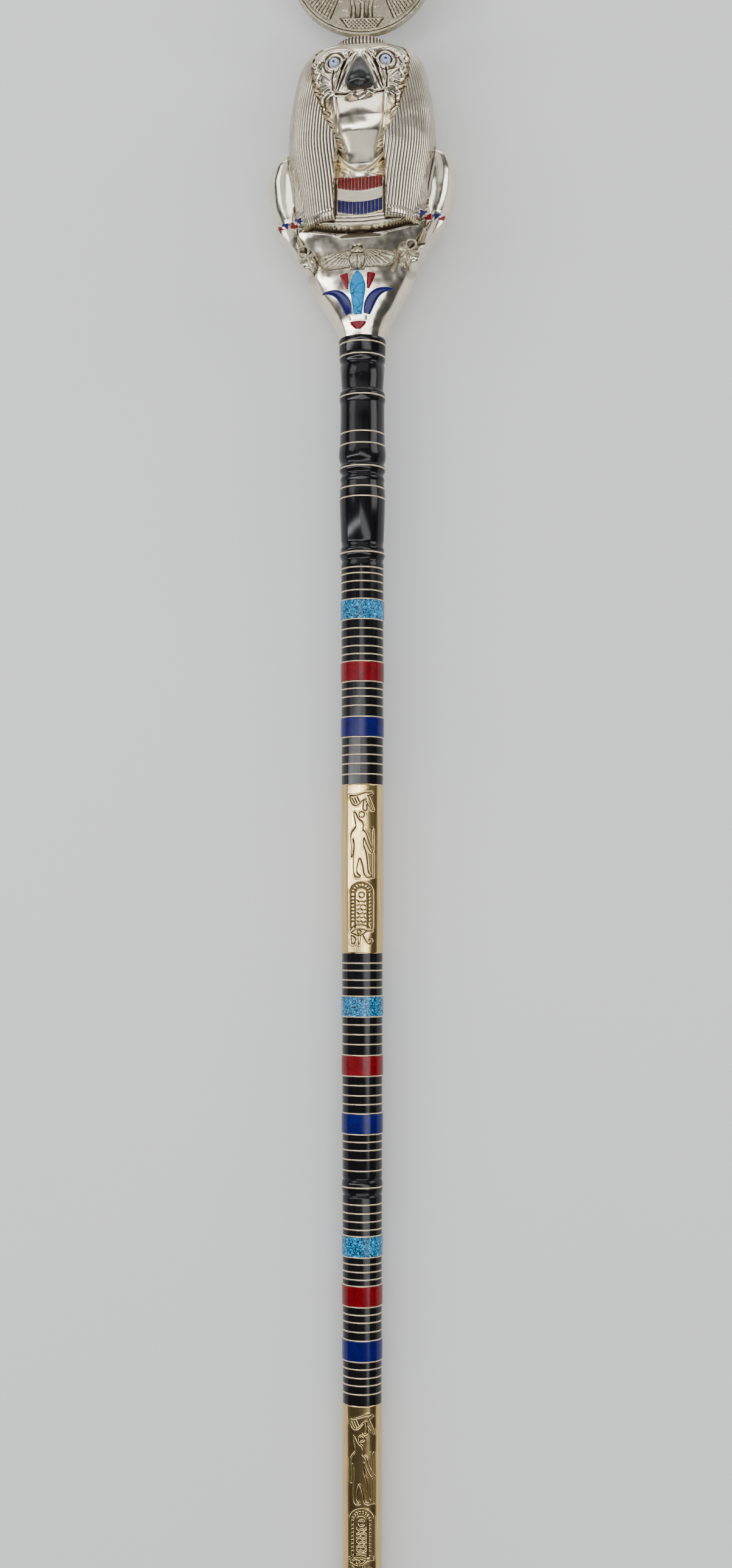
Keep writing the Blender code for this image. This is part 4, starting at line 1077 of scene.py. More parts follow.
def make_turned_shaft():
    profile = [(0, shaft_height)] + [(radius * MM, height * MM) for height, radius in handle_turning]
    profile.append((shaft_radius(handle_height), handle_height))
    for height, rise in bead_turning:
        profile.append((shaft_radius(height * MM) + rise * MM, height * MM))
    neck = shaft_radius(ferrule_height) - 0.0014
    profile += [
        (shaft_radius(ferrule_height), ferrule_height + gap), (neck, ferrule_height + gap),
        (neck, 0.004), (0, 0.004)
    ]
    return turned("turned_ebony_shaft", profile)


ring_set_in, ring_depth = 0.00012, 0.0005


def make_ring(name, height, width):
    """A half-round wire let into the wood."""
    radius = turned_radius(height) - ring_set_in
    rounds = [(radius + width * 0.5 * math.cos(a), height + width * 0.5 * math.sin(a))
              for a in np.linspace(-math.pi / 2, math.pi / 2, 7)]
    inside = [(radius - ring_depth, height + side * width * 0.5) for side in (1, -1)]
    return turned(name, rounds + inside + rounds[:1], steps=72)


def make_band(name, place, length, proud, shoulder=0.00025):
    """A tube that stands a little proud, with softened ends."""
    top, bottom = place + length / 2, place - length / 2
    profile = [
        (shaft_radius(top) - 0.0008, top), (shaft_radius(top) + proud - shoulder, top),
        (shaft_radius(top) + proud, top - shoulder), (shaft_radius(bottom) + proud, bottom + shoulder),
        (shaft_radius(bottom) + proud - shoulder, bottom), (shaft_radius(bottom) - 0.0008, bottom),
        (shaft_radius(top) - 0.0008, top),
    ]
    return turned(name, profile)


def make_ferrule():
    outer = foot_reach
    inner = outer - 0.0014
    lip = ferrule_height / 7
    profile = [
        (inner, ferrule_height - 0.0004), (outer - 0.0003, ferrule_height), (outer, ferrule_height - 0.0004),
        (outer, ferrule_height - lip), (outer - lip / 8, ferrule_height - lip * 1.2),
        (outer - lip / 8, ferrule_height - lip * 1.6), (outer, ferrule_height - lip * 1.8),
        (outer, lip / 3), (outer - lip / 9, lip / 9), (outer - lip / 3, 0.00002), (0, 0.00002),
        (0, 0.003), (inner, 0.003),
        (inner, ferrule_height - 0.0004),
    ]
    return turned("brass_ferrule", profile)


# Engraved lines of a sleeve, in millimetres across from its middle and down from its top
def arc(x, y, radius, start, end, steps=16, tall=1.0):
    turns = np.radians(np.linspace(start, end, steps))
    return [(x + radius * math.cos(a), y - tall * radius * math.sin(a)) for a in turns]


def eased(line, rounds=2):
    """A drawn line with its corners rounded off"""
    points = np.array(line, float)
    for _ in range(rounds):
        near, far = points[:-1], points[1:]
        cuts = np.stack([near * 0.75 + far * 0.25, near * 0.25 + far * 0.75], 1).reshape(-1, 2)
        points = np.concatenate([points[:1], cuts[1:-1], points[-1:]])
    return [tuple(point) for point in points]


def engraved_lines():
    bird = [
        [
            (-6.2, 6.4), (-3.2, 6.6), (0, 5.4), (2.2, 4.6), (3.6, 4.4), (5.4, 4.6), (5.9, 5.4),
            (4.8, 6.2), (3.4, 6.4)
        ],
        [(-6.2, 6.4), (-5.4, 10.2), (-3.6, 12.2), (-1.2, 11.4), (0.6, 8.8), (2.6, 8.2)],
        [(3.4, 6.4), (4.8, 9.4), (6.6, 14.2), (6.0, 14.9), (4.2, 12.6), (2.6, 10.0), (2.6, 8.2)],
        [(1.4, 8.6), (1.0, 12.0), (0.8, 14.0), (2.0, 14.6), (3.2, 14.0), (3.0, 11.4)],
        [(-5.0, 7.6), (-3.4, 10.8)], [(-3.6, 7.4), (-2.2, 10.6)], [(-2.2, 7.0), (-1.0, 9.8)],
        [(4.6, 11.0), (5.6, 13.6)],
    ]
    walker = [
        [
            (-2.9, 21.9), (-4.3, 15.6), (-3.2, 15.2), (-1.4, 19.4), (0.4, 20.4), (0.7, 21.4),
            (1.3, 23.0), (0.9, 23.6), (1.1, 24.6), (0.7, 25.2)
        ],
        arc(0.2, 16.6, 1.5, -100, 180, 12) + [(-1.0, 18.2)],
        [
            (-2.9, 21.9), (-3.0, 23.6), (-5.0, 25.8), (-5.9, 28.6), (-5.4, 34.0), (-5.6, 39.6),
            (-4.8, 39.8), (-4.4, 34.6), (-4.6, 30.4)
        ],
        [
            (-4.4, 30.0), (-3.6, 33.4), (-4.3, 38.6), (-4.4, 50.6), (-0.4, 50.6), (-0.9, 49.6),
            (-2.6, 48.4), (-2.2, 43.6), (-0.9, 39.4), (0.9, 45.0), (1.6, 50.6), (6.0, 50.6), (5.4, 49.6),
            (3.8, 48.6), (3.4, 43.0), (2.8, 38.0), (1.2, 34.0), (1.3, 29.6)
        ],
        [
            (0.9, 25.0), (2.8, 27.2), (4.0, 31.6), (6.3, 36.6), (5.9, 37.6), (4.9, 37.2), (2.7, 32.8),
            (1.4, 29.4)
        ],
        [(5.3, 24.4), (6.3, 24.0), (6.5, 35.8)], [(5.3, 24.4), (5.7, 34.4)], [(5.6, 38.2), (5.6, 50.8)],
        [(6.5, 37.6), (6.5, 50.8)],
    ]
    shield = []
    for radius in (6.2, 5.6, 3.7, 3.1):
        shield.append([(-radius, 78.0)] + arc(0, 59.4, radius, 180, 0, 24) + [(radius, 78.0)])
    for turn in np.linspace(8, 172, 9):
        a = math.radians(turn)
        shield.append(
            [(3.9 * math.cos(a), 59.4 - 3.9 * math.sin(a)), (5.4 * math.cos(a), 59.4 - 5.4 * math.sin(a))]
        )
    for down in np.arange(61.2, 76.0, 1.9):
        shield += [[(-5.3, down), (-4.0, down)], [(4.0, down), (5.3, down)]]
    shield.append(arc(0.1, 60.2, 1.5, 0, 360, 14))
    # Rows of short strokes
    for row, down in enumerate(np.arange(63.6, 76.0, 2.2)):
        for place in (-1.7, 0.1, 1.9):
            tilt = 0.5 * math.sin(row * 2.3 + place)
            shield.append([(place - 0.6, down + tilt), (place + 0.6, down - tilt)])
    eye = [
        [(-6.0, 79.2), (-4.6, 77.2), (-1.0, 76.0), (2.6, 76.6), (6.0, 78.8)],
        [(-5.6, 80.6), (-3.0, 78.6), (0.2, 78.4), (3.0, 79.4), (6.0, 79.8)],
        [(-5.6, 80.6), (-2.8, 82.0), (0.4, 81.8), (3.0, 79.4)],
        arc(-1.3, 80.2, 1.1, 0, 360, 12),
        [(-1.6, 82.0), (-1.9, 86.8), (-0.8, 86.8), (-0.2, 82.0)],
        [(0.8, 81.8), (2.0, 84.6), (3.6, 86.6), (5.4, 86.4), (5.9, 84.8), (4.8, 83.7), (3.8, 84.6)],
        [(-5.4, 82.2), (-5.5, 86.8), (-3.8, 86.6), (-3.0, 84.8), (-3.7, 82.8), (-5.4, 82.2)],
    ]
    return [eased(line) for line in bird + walker + eye] + shield


engraved_turn = 48
line_width, line_depth = 0.26, 0.26
burr_away, burr_width, burr_rise = 0.65, 0.35, 0.05


def make_sleeve(name, place):
    """A brass tube with its front engraved: a closed skin, finely divided only where lines are cut."""
    turns = [np.linspace(-engraved_turn, engraved_turn, 104), np.linspace(54, 306, 43)]
    across = np.radians(np.concatenate(turns))
    down = np.linspace(0, sleeve_length, 380)
    x = np.sin(across)[None] * shaft_radius(place) / MM
    y = down[:, None] / MM + 0 * x
    front = np.cos(across)[None] > 0.6
    nearest = np.full(y.shape, 1e9)
    for line in engraved_lines():
        for (x0, y0), (x1, y1) in zip(line, line[1:]):
            rows = slice(*np.searchsorted(down / MM, (min(y0, y1) - 1.2, max(y0, y1) + 1.2)))
            length = max((x1 - x0) ** 2 + (y1 - y0) ** 2, 1e-9)
            t = np.clip(((x - x0) * (x1 - x0) + (y[rows] - y0) * (y1 - y0)) / length, 0, 1)
            away = (x - x0 - t * (x1 - x0)) ** 2 + (y[rows] - y0 - t * (y1 - y0)) ** 2
            nearest[rows] = np.minimum(nearest[rows], away)
    cut = np.where(front, np.exp(-nearest / line_width**2), 0)
    raised = np.where(front, np.exp(-((np.sqrt(nearest) - burr_away) / burr_width) ** 2), 0)
    height = place + sleeve_length / 2 - down[:, None]
    radius = shaft_radius(height) + sleeve_proud + (burr_rise * raised - line_depth * cut) * MM
    ends = 0.00025 * (1 - smooth(0, 0.0004, np.minimum(down, sleeve_length - down)))[:, None]
    radius = radius - ends
    rows = np.stack([radius * np.sin(across), -radius * np.cos(across), height + 0 * radius], -1)
    inside = radius[[0, -1]] - 0.0009
    caps = np.stack([inside * np.sin(across), -inside * np.cos(across), height[[0, -1]] + 0 * inside], -1)
    grid = np.concatenate([caps[:1], rows, caps[1:], caps[:1]])
    sleeve = skin(name, grid, wrap=True, ends=False)
    # Painted shade in the engraved lines
    paint(sleeve, "hollow", np.concatenate([cut[:1] * 0, cut, cut[:1] * 0, cut[:1] * 0]))
    tidy_faces(sleeve)
    return sleeve


# Finishes


class Finish:
    """A material made node by node, with Object coordinates as its place."""

    def __init__(self, name):
        self.material = bpy.data.materials.new(name)
        self.material.use_nodes = True
        self.tree = self.material.node_tree
        self.shader = self.tree.nodes["Principled BSDF"]
        self.place = self.tree.nodes.new("ShaderNodeTexCoord").outputs["Object"]

    def node(self, kind, **values):
        made = self.tree.nodes.new(kind)
        for name, value in values.items():
            if isinstance(value, bpy.types.NodeSocket):
                self.tree.links.new(value, made.inputs[name.replace("_", " ")])
            else:
                made.inputs[name.replace("_", " ")].default_value = value
        return made

    def link(self, output, name):
        self.tree.links.new(output, self.shader.inputs[name])

    def set(self, **values):
        for name, value in values.items():
            self.shader.inputs[name.replace("_", " ")].default_value = value

    def stretched(self, scale):
        mapping = self.node("ShaderNodeMapping", Vector=self.place)
        mapping.inputs["Scale"].default_value = scale
        return mapping.outputs["Vector"]

    def noise(self, scale, detail=4, place=None, distortion=0.0):
        made = self.node("ShaderNodeTexNoise", Vector=place or self.place, Scale=scale, Detail=detail)
        made.inputs["Distortion"].default_value = distortion
        return made.outputs["Fac"]

    def ramp(self, value, stops):
        made = self.node("ShaderNodeValToRGB", Fac=value)
        while len(made.color_ramp.elements) < len(stops):
            made.color_ramp.elements.new(0.5)
        for element, (place, colour) in zip(made.color_ramp.elements, stops):
            element.position = place
            element.color = (
                (*colour, 1) if not isinstance(colour, (int, float)) else (colour, colour, colour, 1)
            )
        return made.outputs["Color"]

    def mix(self, share, first, second, way="MIX"):
        made = self.tree.nodes.new("ShaderNodeMix")
        made.data_type = "RGBA"
        made.blend_type = way
        for index, value in ((0, share), (6, first), (7, second)):
            if isinstance(value, bpy.types.NodeSocket):
                self.tree.links.new(value, made.inputs[index])
            else:
                made.inputs[index].default_value = value if index == 0 else (*value, 1)
        return made.outputs[2]

    def sum(self, way, first, second):
        made = self.tree.nodes.new("ShaderNodeMath")
        made.operation = way
        for index, value in enumerate((first, second)):
            if isinstance(value, bpy.types.NodeSocket):
                self.tree.links.new(value, made.inputs[index])
            else:
                made.inputs[index].default_value = value
        return made.outputs[0]

    def bump(self, height, strength, distance=0.0002):
        made = self.node("ShaderNodeBump", Height=height, Strength=strength, Distance=distance)
        self.link(made.outputs["Normal"], "Normal")

    def attribute(self, name):
        made = self.tree.nodes.new("ShaderNodeAttribute")
        made.attribute_name = name
        return made.outputs["Fac"]


def shade(colour, factor):
    return tuple(min(1.0, c * factor) for c in colour)


def cast_metal_finish(name, colour, patina_and_shade, roughness, ripple):
    """Polished cast metal with warm stains, a slightly uneven skin, and patina and painted shade in its
    hollows.
    """
    made = Finish(name)
    made.set(Metallic=1.0)
    hollow = made.attribute("hollow")
    stain = made.noise(90, 6, distortion=0.6)
    speckle = made.noise(900, 3)
    tone = made.mix(made.ramp(stain, ((0.35, 0.0), (0.75, 1.0))), colour, shade(colour, 0.80))
    deep = made.sum("MULTIPLY", hollow, made.ramp(speckle, ((0.25, 0.75), (0.6, 1.0))))
    dark = made.ramp(deep, ((0.14, 0.0), (0.66, 0.95)))
    # Patina and painted shade: the speckled hollows are mixed towards the dark colour
    made.link(made.mix(dark, tone, patina_and_shade), "Base Color")
    rough = made.ramp(made.noise(260, 5), ((0.3, roughness * 0.8), (0.7, roughness * 1.35)))
    made.link(made.sum("ADD", rough, made.sum("MULTIPLY", dark, 0.35)), "Roughness")
    waves = made.sum("ADD", made.noise(ripple, 1), made.sum("MULTIPLY", made.noise(ripple * 2.7, 1), 0.15))
    made.bump(waves, 0.8, 0.0020)
    return made.material


def brass_finish(colour):
    made = Finish("engraved_brass")
    made.set(Metallic=1.0)
    streaks = made.noise(34, 5, made.stretched((40, 1.2, 40)))
    tone = made.mix(made.ramp(streaks, ((0.3, 0.0), (0.75, 1.0))), colour, shade(colour, 0.55))
    # Painted shade: the engraved lines are darkened
    dark = made.ramp(made.attribute("hollow"), ((0.25, 0.0), (0.75, 1.0)))
    made.link(made.mix(dark, tone, (0.022, 0.014, 0.006)), "Base Color")
    rough = made.ramp(streaks, ((0.3, 0.16), (0.8, 0.27)))
    made.link(made.sum("ADD", rough, made.sum("MULTIPLY", dark, 0.4)), "Roughness")
    made.bump(made.noise(120, 2), 0.18, 0.0003)
    return made.material


def ring_finish(colour):
    made = Finish("brass_wire")
    made.set(Metallic=1.0)
    tone = made.noise(1500, 3)
    pale = tuple(0.75 * value + 0.25 for value in colour)
    made.link(made.mix(made.ramp(tone, ((0.3, 0.0), (0.8, 1.0))), pale, shade(pale, 0.7)), "Base Color")
    made.link(made.ramp(tone, ((0.3, 0.16), (0.8, 0.34))), "Roughness")
    return made.material


def ebony_finish(colour):
    """Waxed ebony: fine pores and grain along the shaft."""
    made = Finish("waxed_ebony")
    grain = made.noise(70, 8, made.stretched((14, 0.7, 14)), 0.4)
    pores = made.noise(900, 3, made.stretched((3, 0.12, 3)))
    tone = made.mix(made.ramp(grain, ((0.35, 0.0), (0.8, 1.0))), colour, shade(colour, 1.8))
    made.link(tone, "Base Color")
    made.link(made.ramp(grain, ((0.3, 0.12), (0.75, 0.20))), "Roughness")
    made.set(Specular_IOR_Level=0.26)
    made.bump(made.sum("ADD", pores, made.sum("MULTIPLY", grain, 0.6)), 0.25, 0.00008)
    return made.material


def turquoise_finish(colour):
    """Turquoise chips set in dark resin."""
    made = Finish("turquoise_chips")
    stir = made.node("ShaderNodeTexNoise", Vector=made.place, Scale=420.0, Detail=2.0)
    stirred = made.mix(0.0035, made.place, stir.outputs["Color"])
    chips = made.node("ShaderNodeTexVoronoi", Vector=stirred, Scale=760.0)
    cracks = made.node("ShaderNodeTexVoronoi", Vector=stirred, Scale=760.0)
    cracks.feature = "DISTANCE_TO_EDGE"
    light = made.ramp(chips.outputs["Color"], ((0.1, 0.0), (0.9, 1.0)))
    tone = made.mix(light, shade(colour, 0.55), shade(colour, 1.7))
    seams = made.sum("SUBTRACT", cracks.outputs["Distance"], made.sum("MULTIPLY", made.noise(400, 4), 0.14))
    dark = made.ramp(seams, ((0.0, 1.0), (0.08, 0.0)))
    made.link(made.mix(dark, tone, (0.003, 0.012, 0.02)), "Base Color")
    made.set(Roughness=0.28, Specular_IOR_Level=0.4)
    return made.material


def vein_turquoise_finish(colour):
    """One turquoise stone with a few dark veins."""
    made = Finish("veined_turquoise")
    warp = made.node("ShaderNodeTexNoise", Vector=made.place, Scale=220.0, Detail=3.0)
    bent = made.mix(0.004, made.place, warp.outputs["Color"])
    veins = made.node("ShaderNodeTexVoronoi", Vector=bent, Scale=150.0)
    veins.feature = "DISTANCE_TO_EDGE"
    tone = made.mix(
        made.ramp(made.noise(300, 5), ((0.3, 0.0), (0.75, 1.0))), shade(colour, 0.95), shade(colour, 0.6)
    )
    dark = made.ramp(veins.outputs["Distance"], ((0.0, 1.0), (0.035, 0.0)))
    made.link(made.mix(dark, tone, (0.004, 0.012, 0.02)), "Base Color")
    made.set(Roughness=0.34, Specular_IOR_Level=0.12)
    return made.material


def stone_finish(name, colour, lighter, darker, scale):
    """Crushed stone in resin: cloudy, with small flecks."""
    made = Finish(name)
    cloud = made.noise(scale, 6, distortion=1.2)
    chips = made.node("ShaderNodeTexVoronoi", Vector=made.place, Scale=scale * 4.0)
    tone = made.mix(
        made.ramp(cloud, ((0.3, 0.0), (0.72, 1.0))), shade(colour, darker), shade(colour, lighter)
    )
    tone = made.mix(
        made.ramp(chips.outputs["Distance"], ((0.1, 0.35), (0.6, 0.0))), tone,
        shade(colour, lighter * 1.5)
    )
    made.link(tone, "Base Color")
    made.set(Roughness=0.21, Specular_IOR_Level=0.26)
    return made.material


def beak_finish():
    made = Finish("black_stone")
    cloud = made.noise(300, 5)
    made.link(made.ramp(cloud, ((0.3, (0.002, 0.002, 0.0025)), (0.8, (0.008, 0.0075, 0.008)))), "Base Color")
    made.link(made.ramp(cloud, ((0.3, 0.12), (0.8, 0.26))), "Roughness")
    made.set(Specular_IOR_Level=0.2)
    made.bump(made.noise(160, 2), 0.2, 0.0004)
    return made.material


def eye_finish(colour):
    """Opaque pale glass with a dark pupil and a cloudy tone."""
    made = Finish("blue_eye_glass")
    cloud = made.noise(700, 4)
    tone = made.mix(made.ramp(cloud, ((0.35, 0.0), (0.7, 1.0))), shade(colour, 0.8), shade(colour, 1.3))
    made.link(made.mix(made.attribute("pupil"), tone, (0.004, 0.005, 0.010)), "Base Color")
    made.set(Roughness=0.06, Coat_Weight=1.0, Coat_Roughness=0.03)
    return made.material


def finish_of(name):
    """The named finish, made when it is first asked for."""
    if name in bpy.data.materials:
        return bpy.data.materials[name]
    scene = bpy.context.scene
    bust, disc = scene.sceptre_bust, scene.sceptre_disc
    stones, shaft = scene.sceptre_stones, scene.sceptre_shaft
    # One colour serves for patina and painted shade in the hollows
    patina_and_shade = tuple(bust.patina_and_shade_colour)
    makers = {
        "polished_cast_metal": lambda: cast_metal_finish(
            "polished_cast_metal", tuple(bust.metal_colour), patina_and_shade, 0.17, 46),
        "antiqued_relief_metal": lambda: cast_metal_finish(
            "antiqued_relief_metal", tuple(disc.metal_colour), patina_and_shade, 0.32, 240),
        "engraved_brass": lambda: brass_finish(tuple(shaft.brass_colour)),
        "brass_wire": lambda: ring_finish(tuple(shaft.brass_colour)),
        "waxed_ebony": lambda: ebony_finish(tuple(shaft.wood_colour)),
        "turquoise_chips": lambda: turquoise_finish(tuple(stones.turquoise_colour)),
        "veined_turquoise": lambda: vein_turquoise_finish(tuple(stones.turquoise_colour)),
        "red_coral": lambda: stone_finish("red_coral", tuple(stones.coral_colour), 1.7, 0.65, 260),
        "blue_lapis": lambda: stone_finish("blue_lapis", tuple(stones.lapis_colour), 1.5, 0.7, 200),
        "black_stone": beak_finish,
        "blue_eye_glass": lambda: eye_finish(tuple(stones.glass_colour)),
    }
    return makers[name]()


stone_finishes = {"turquoise": "turquoise_chips", "coral": "red_coral", "lapis": "blue_lapis"}


# Operators, one for each piece or group of like pieces


class SceptrePiece:
    """What the piece operators share."""

    bl_options = {"REGISTER", "UNDO"}


class SCEPTRE_OT_shaft(SceptrePiece, bpy.types.Operator):
    """Turn the ebony shaft with its beads, grooves and steps"""

    bl_idname = "sceptre.shaft"
    bl_label = "Ebony shaft"

    def execute(self, context):
        settle(make_turned_shaft(), finish_of("waxed_ebony"), ["ebony_shaft"], angle=50)
        return {"FINISHED"}


class SCEPTRE_OT_rings(SceptrePiece, bpy.types.Operator):
    """Let thin brass rings into the shaft"""

    bl_idname = "sceptre.rings"
    bl_label = "Brass rings"

    def execute(self, context):
        width = context.scene.sceptre_shaft.ring_width
        heights = [height * MM for height in ring_heights]
        for place in band_places.values():
            heights += [place + side * (band_length / 2 + width * 0.35) for side in (-1, 1)]
        rings = [make_ring(f"ring_{number}", height, width) for number, height in enumerate(sorted(heights))]
        settle(joined("brass_rings", rings), finish_of("brass_wire"))
        return {"FINISHED"}


class SCEPTRE_OT_bands(SceptrePiece, bpy.types.Operator):
    """Set the nine stone bands round the shaft"""

    bl_idname = "sceptre.bands"
    bl_label = "Stone bands"

    def execute(self, context):
        for node, place in band_places.items():
            stone = node.split("_")[0]
            band = make_band("polished_" + node, place, band_length, band_proud)
            settle(band, finish_of(stone_finishes[stone]), [node])
        return {"FINISHED"}


class SCEPTRE_OT_sleeves(SceptrePiece, bpy.types.Operator):
    """Slide the two engraved brass sleeves on and cap the foot"""

    bl_idname = "sceptre.sleeves"
    bl_label = "Brass sleeves and ferrule"

    def execute(self, context):
        for node, place in sleeve_places.items():
            sleeve = make_sleeve("engraved_" + node, place)
            settle(sleeve, finish_of("engraved_brass"), [node])
        settle(make_ferrule(), finish_of("engraved_brass"), ["foot_ferrule"])
        return {"FINISHED"}


class SCEPTRE_OT_bust(SceptrePiece, bpy.types.Operator):
    """Cast the falcon-headed bust and the pleated crown on its head"""

    bl_idname = "sceptre.bust"
    bl_label = "Falcon bust"

    def execute(self, context):
        metal = finish_of("polished_cast_metal")
        settle(make_falcon_bust(context.scene.sceptre_bust), metal, ["falcon_bust"], angle=60)
        settle(make_face(), metal, angle=60)
        settle(make_crown(), metal, angle=60)
        return {"FINISHED"}


class SCEPTRE_OT_collar(SceptrePiece, bpy.types.Operator):
    """Set the coral and lapis strips between the lappets, with thin metal walls between their bars"""

    bl_idname = "sceptre.collar"
    bl_label = "Collar strips"

    def execute(self, context):
        walls = []
        for node, stone, low, high, bars in (
            ("collar_coral_inlay", "coral", 74.6, 81.6, 13),
            ("collar_lapis_inlay", "lapis", 61.0, 68.0, 12),
        ):
            edges = np.linspace(-strip_end, strip_end, bars + 1)
            made = [
                collar_bar(f"{node}_bar", low, high, start + 0.014, end - 0.014, 0.95)
                for start, end in zip(edges, edges[1:])
            ]
            strip = joined(f"barred_{node}", made)
            settle(strip, finish_of(stone_finishes[stone]), [node], angle=60)
            walls += [
                collar_bar(f"{node}_wall", low - 0.2, high + 0.2, place - 0.013, place + 0.013, 0.62)
                for place in edges
            ]
        share = np.linspace(-strip_end, strip_end, 40)
        for number, height in enumerate(rim_heights, start=1):
            spine = np.stack([share * strip_half_width, height + strip_rise * share**2], 1)
            walls.append(petal(f"collar_rim_{number}", spine, rim_half + 0 * share, 0.1))
        settle(joined("collar_walls", walls), finish_of("polished_cast_metal"), angle=60)
        return {"FINISHED"}


class SCEPTRE_OT_armlets(SceptrePiece, bpy.types.Operator):
    """Set the red and blue wedges into the armlets"""

    bl_idname = "sceptre.armlets"
    bl_label = "Armlet stones"

    def execute(self, context):
        for side, word in ((-1, "left"), (1, "right")):
            for number in range(4):
                stone = "lapis" if number % 2 else "coral"
                tile = make_tile(f"{word}_armlet_{stone}_{number + 1}", side, number)
                settle(tile, finish_of(stone_finishes[stone]), [f"{word}_armlet_tile_{number + 1}"])
        return {"FINISHED"}


class SCEPTRE_OT_lotus(SceptrePiece, bpy.types.Operator):
    """Set the lotus of turquoise, coral and lapis into the belly"""

    bl_idname = "sceptre.lotus"
    bl_label = "Lotus"

    def execute(self, context):
        middle = belly_shift
        steps = np.linspace(0, 1, 30)
        spine = [(middle, 10.2 + 23.2 * t) for t in steps]
        widths = along(((0, 2.2), (0.3, 3.3), (0.62, 4.4), (0.85, 3.0), (1, 0.35)), steps)
        flower = petal("turquoise_petal", spine, widths)
        settle(flower, finish_of("veined_turquoise"), ["lotus_turquoise_petal"], angle=50)
        for side, word in ((-1, "left"), (1, "right")):
            t = np.linspace(0, 1, 16)
            spine = np.stack([middle + side * (5.7 + 1.9 * t), 23.5 + 8.0 * t], 1)
            widths = along(((0, 0.7), (0.5, 1.7), (1, 2.4)), t)
            piece = petal(f"{word}_coral_petal", spine, widths)
            settle(piece, finish_of("red_coral"), [f"lotus_{word}_coral_petal"], angle=50)
            t = np.linspace(0, 1, 30)
            spine = np.stack(
                [middle + side * (4.9 + 4.3 * t + 10.6 * t**3), 10.4 + 18.0 * t - 5.0 * t**4], 1
            )
            piece = petal(f"{word}_lapis_petal", spine, 0.25 + 2.6 * np.sin(np.pi * (0.2 + 0.8 * t)))
            settle(piece, finish_of("blue_lapis"), [f"lotus_{word}_lapis_petal"], angle=50)
        t = np.linspace(0, 1, 20)
        line = [(middle, 2.6 + 4.0 * s) for s in t]
        base = petal("coral_base", line, 1.2 + 3.3 * np.sin(t * math.pi / 2), 0.6)
        settle(base, finish_of("red_coral"), ["lotus_coral_base"], angle=50)
        tie = petal("lotus_tie", [(middle, 7.3 + 2.4 * s) for s in t[::3]], 5.0 + 0 * t[::3], 0.3)
        settle(tie, finish_of("polished_cast_metal"), angle=50)
        return {"FINISHED"}


class SCEPTRE_OT_eyes(SceptrePiece, bpy.types.Operator):
    """Set the two glass eyes"""

    bl_idname = "sceptre.eyes"
    bl_label = "Eyes"

    def execute(self, context):
        for side, word in ((-1, "left"), (1, "right")):
            eye = make_eye(f"{word}_glass_eye", side)
            settle(eye, finish_of("blue_eye_glass"), [f"{word}_eye"])
        return {"FINISHED"}


class SCEPTRE_OT_beak(SceptrePiece, bpy.types.Operator):
    """Set the hooked black beak"""

    bl_idname = "sceptre.beak"
    bl_label = "Beak"

    def execute(self, context):
        settle(make_beak(), finish_of("black_stone"), ["beak"], angle=60)
        return {"FINISHED"}


class SCEPTRE_OT_ornaments(SceptrePiece, bpy.types.Operator):
    """Fix the winged beetle on the belly and the looped crosses on the hands"""

    bl_idname = "sceptre.ornaments"
    bl_label = "Beetle and crosses"

    def execute(self, context):
        metal = finish_of("antiqued_relief_metal")
        settle(make_scarab(), metal, ["winged_scarab"], angle=50)
        for side, word in ((-1, "left"), (1, "right")):
            settle(make_ankh(f"{word}_looped_cross", side), metal, [f"{word}_ankh"], angle=50)
        return {"FINISHED"}


class SCEPTRE_OT_disc(SceptrePiece, bpy.types.Operator):
    """Strike the sun disc with its bird on a basket"""

    bl_idname = "sceptre.disc"
    bl_label = "Sun disc"

    def execute(self, context):
        disc = make_disc(context.scene.sceptre_disc)
        settle(disc, finish_of("antiqued_relief_metal"), ["sun_disc"], angle=60)
        return {"FINISHED"}


def area_light(name, place, target, size, power, colour=(1, 1, 1)):
    bpy.ops.object.light_add(type="AREA", location=place)
    light = bpy.context.object
    light.name = name
    light.data.shape = "RECTANGLE"
    light.data.size, light.data.size_y = size
    light.data.energy = power
    light.data.color = colour
    light.rotation_euler = (Vector(place) - Vector(target)).to_track_quat("Z", "Y").to_euler()
    return light


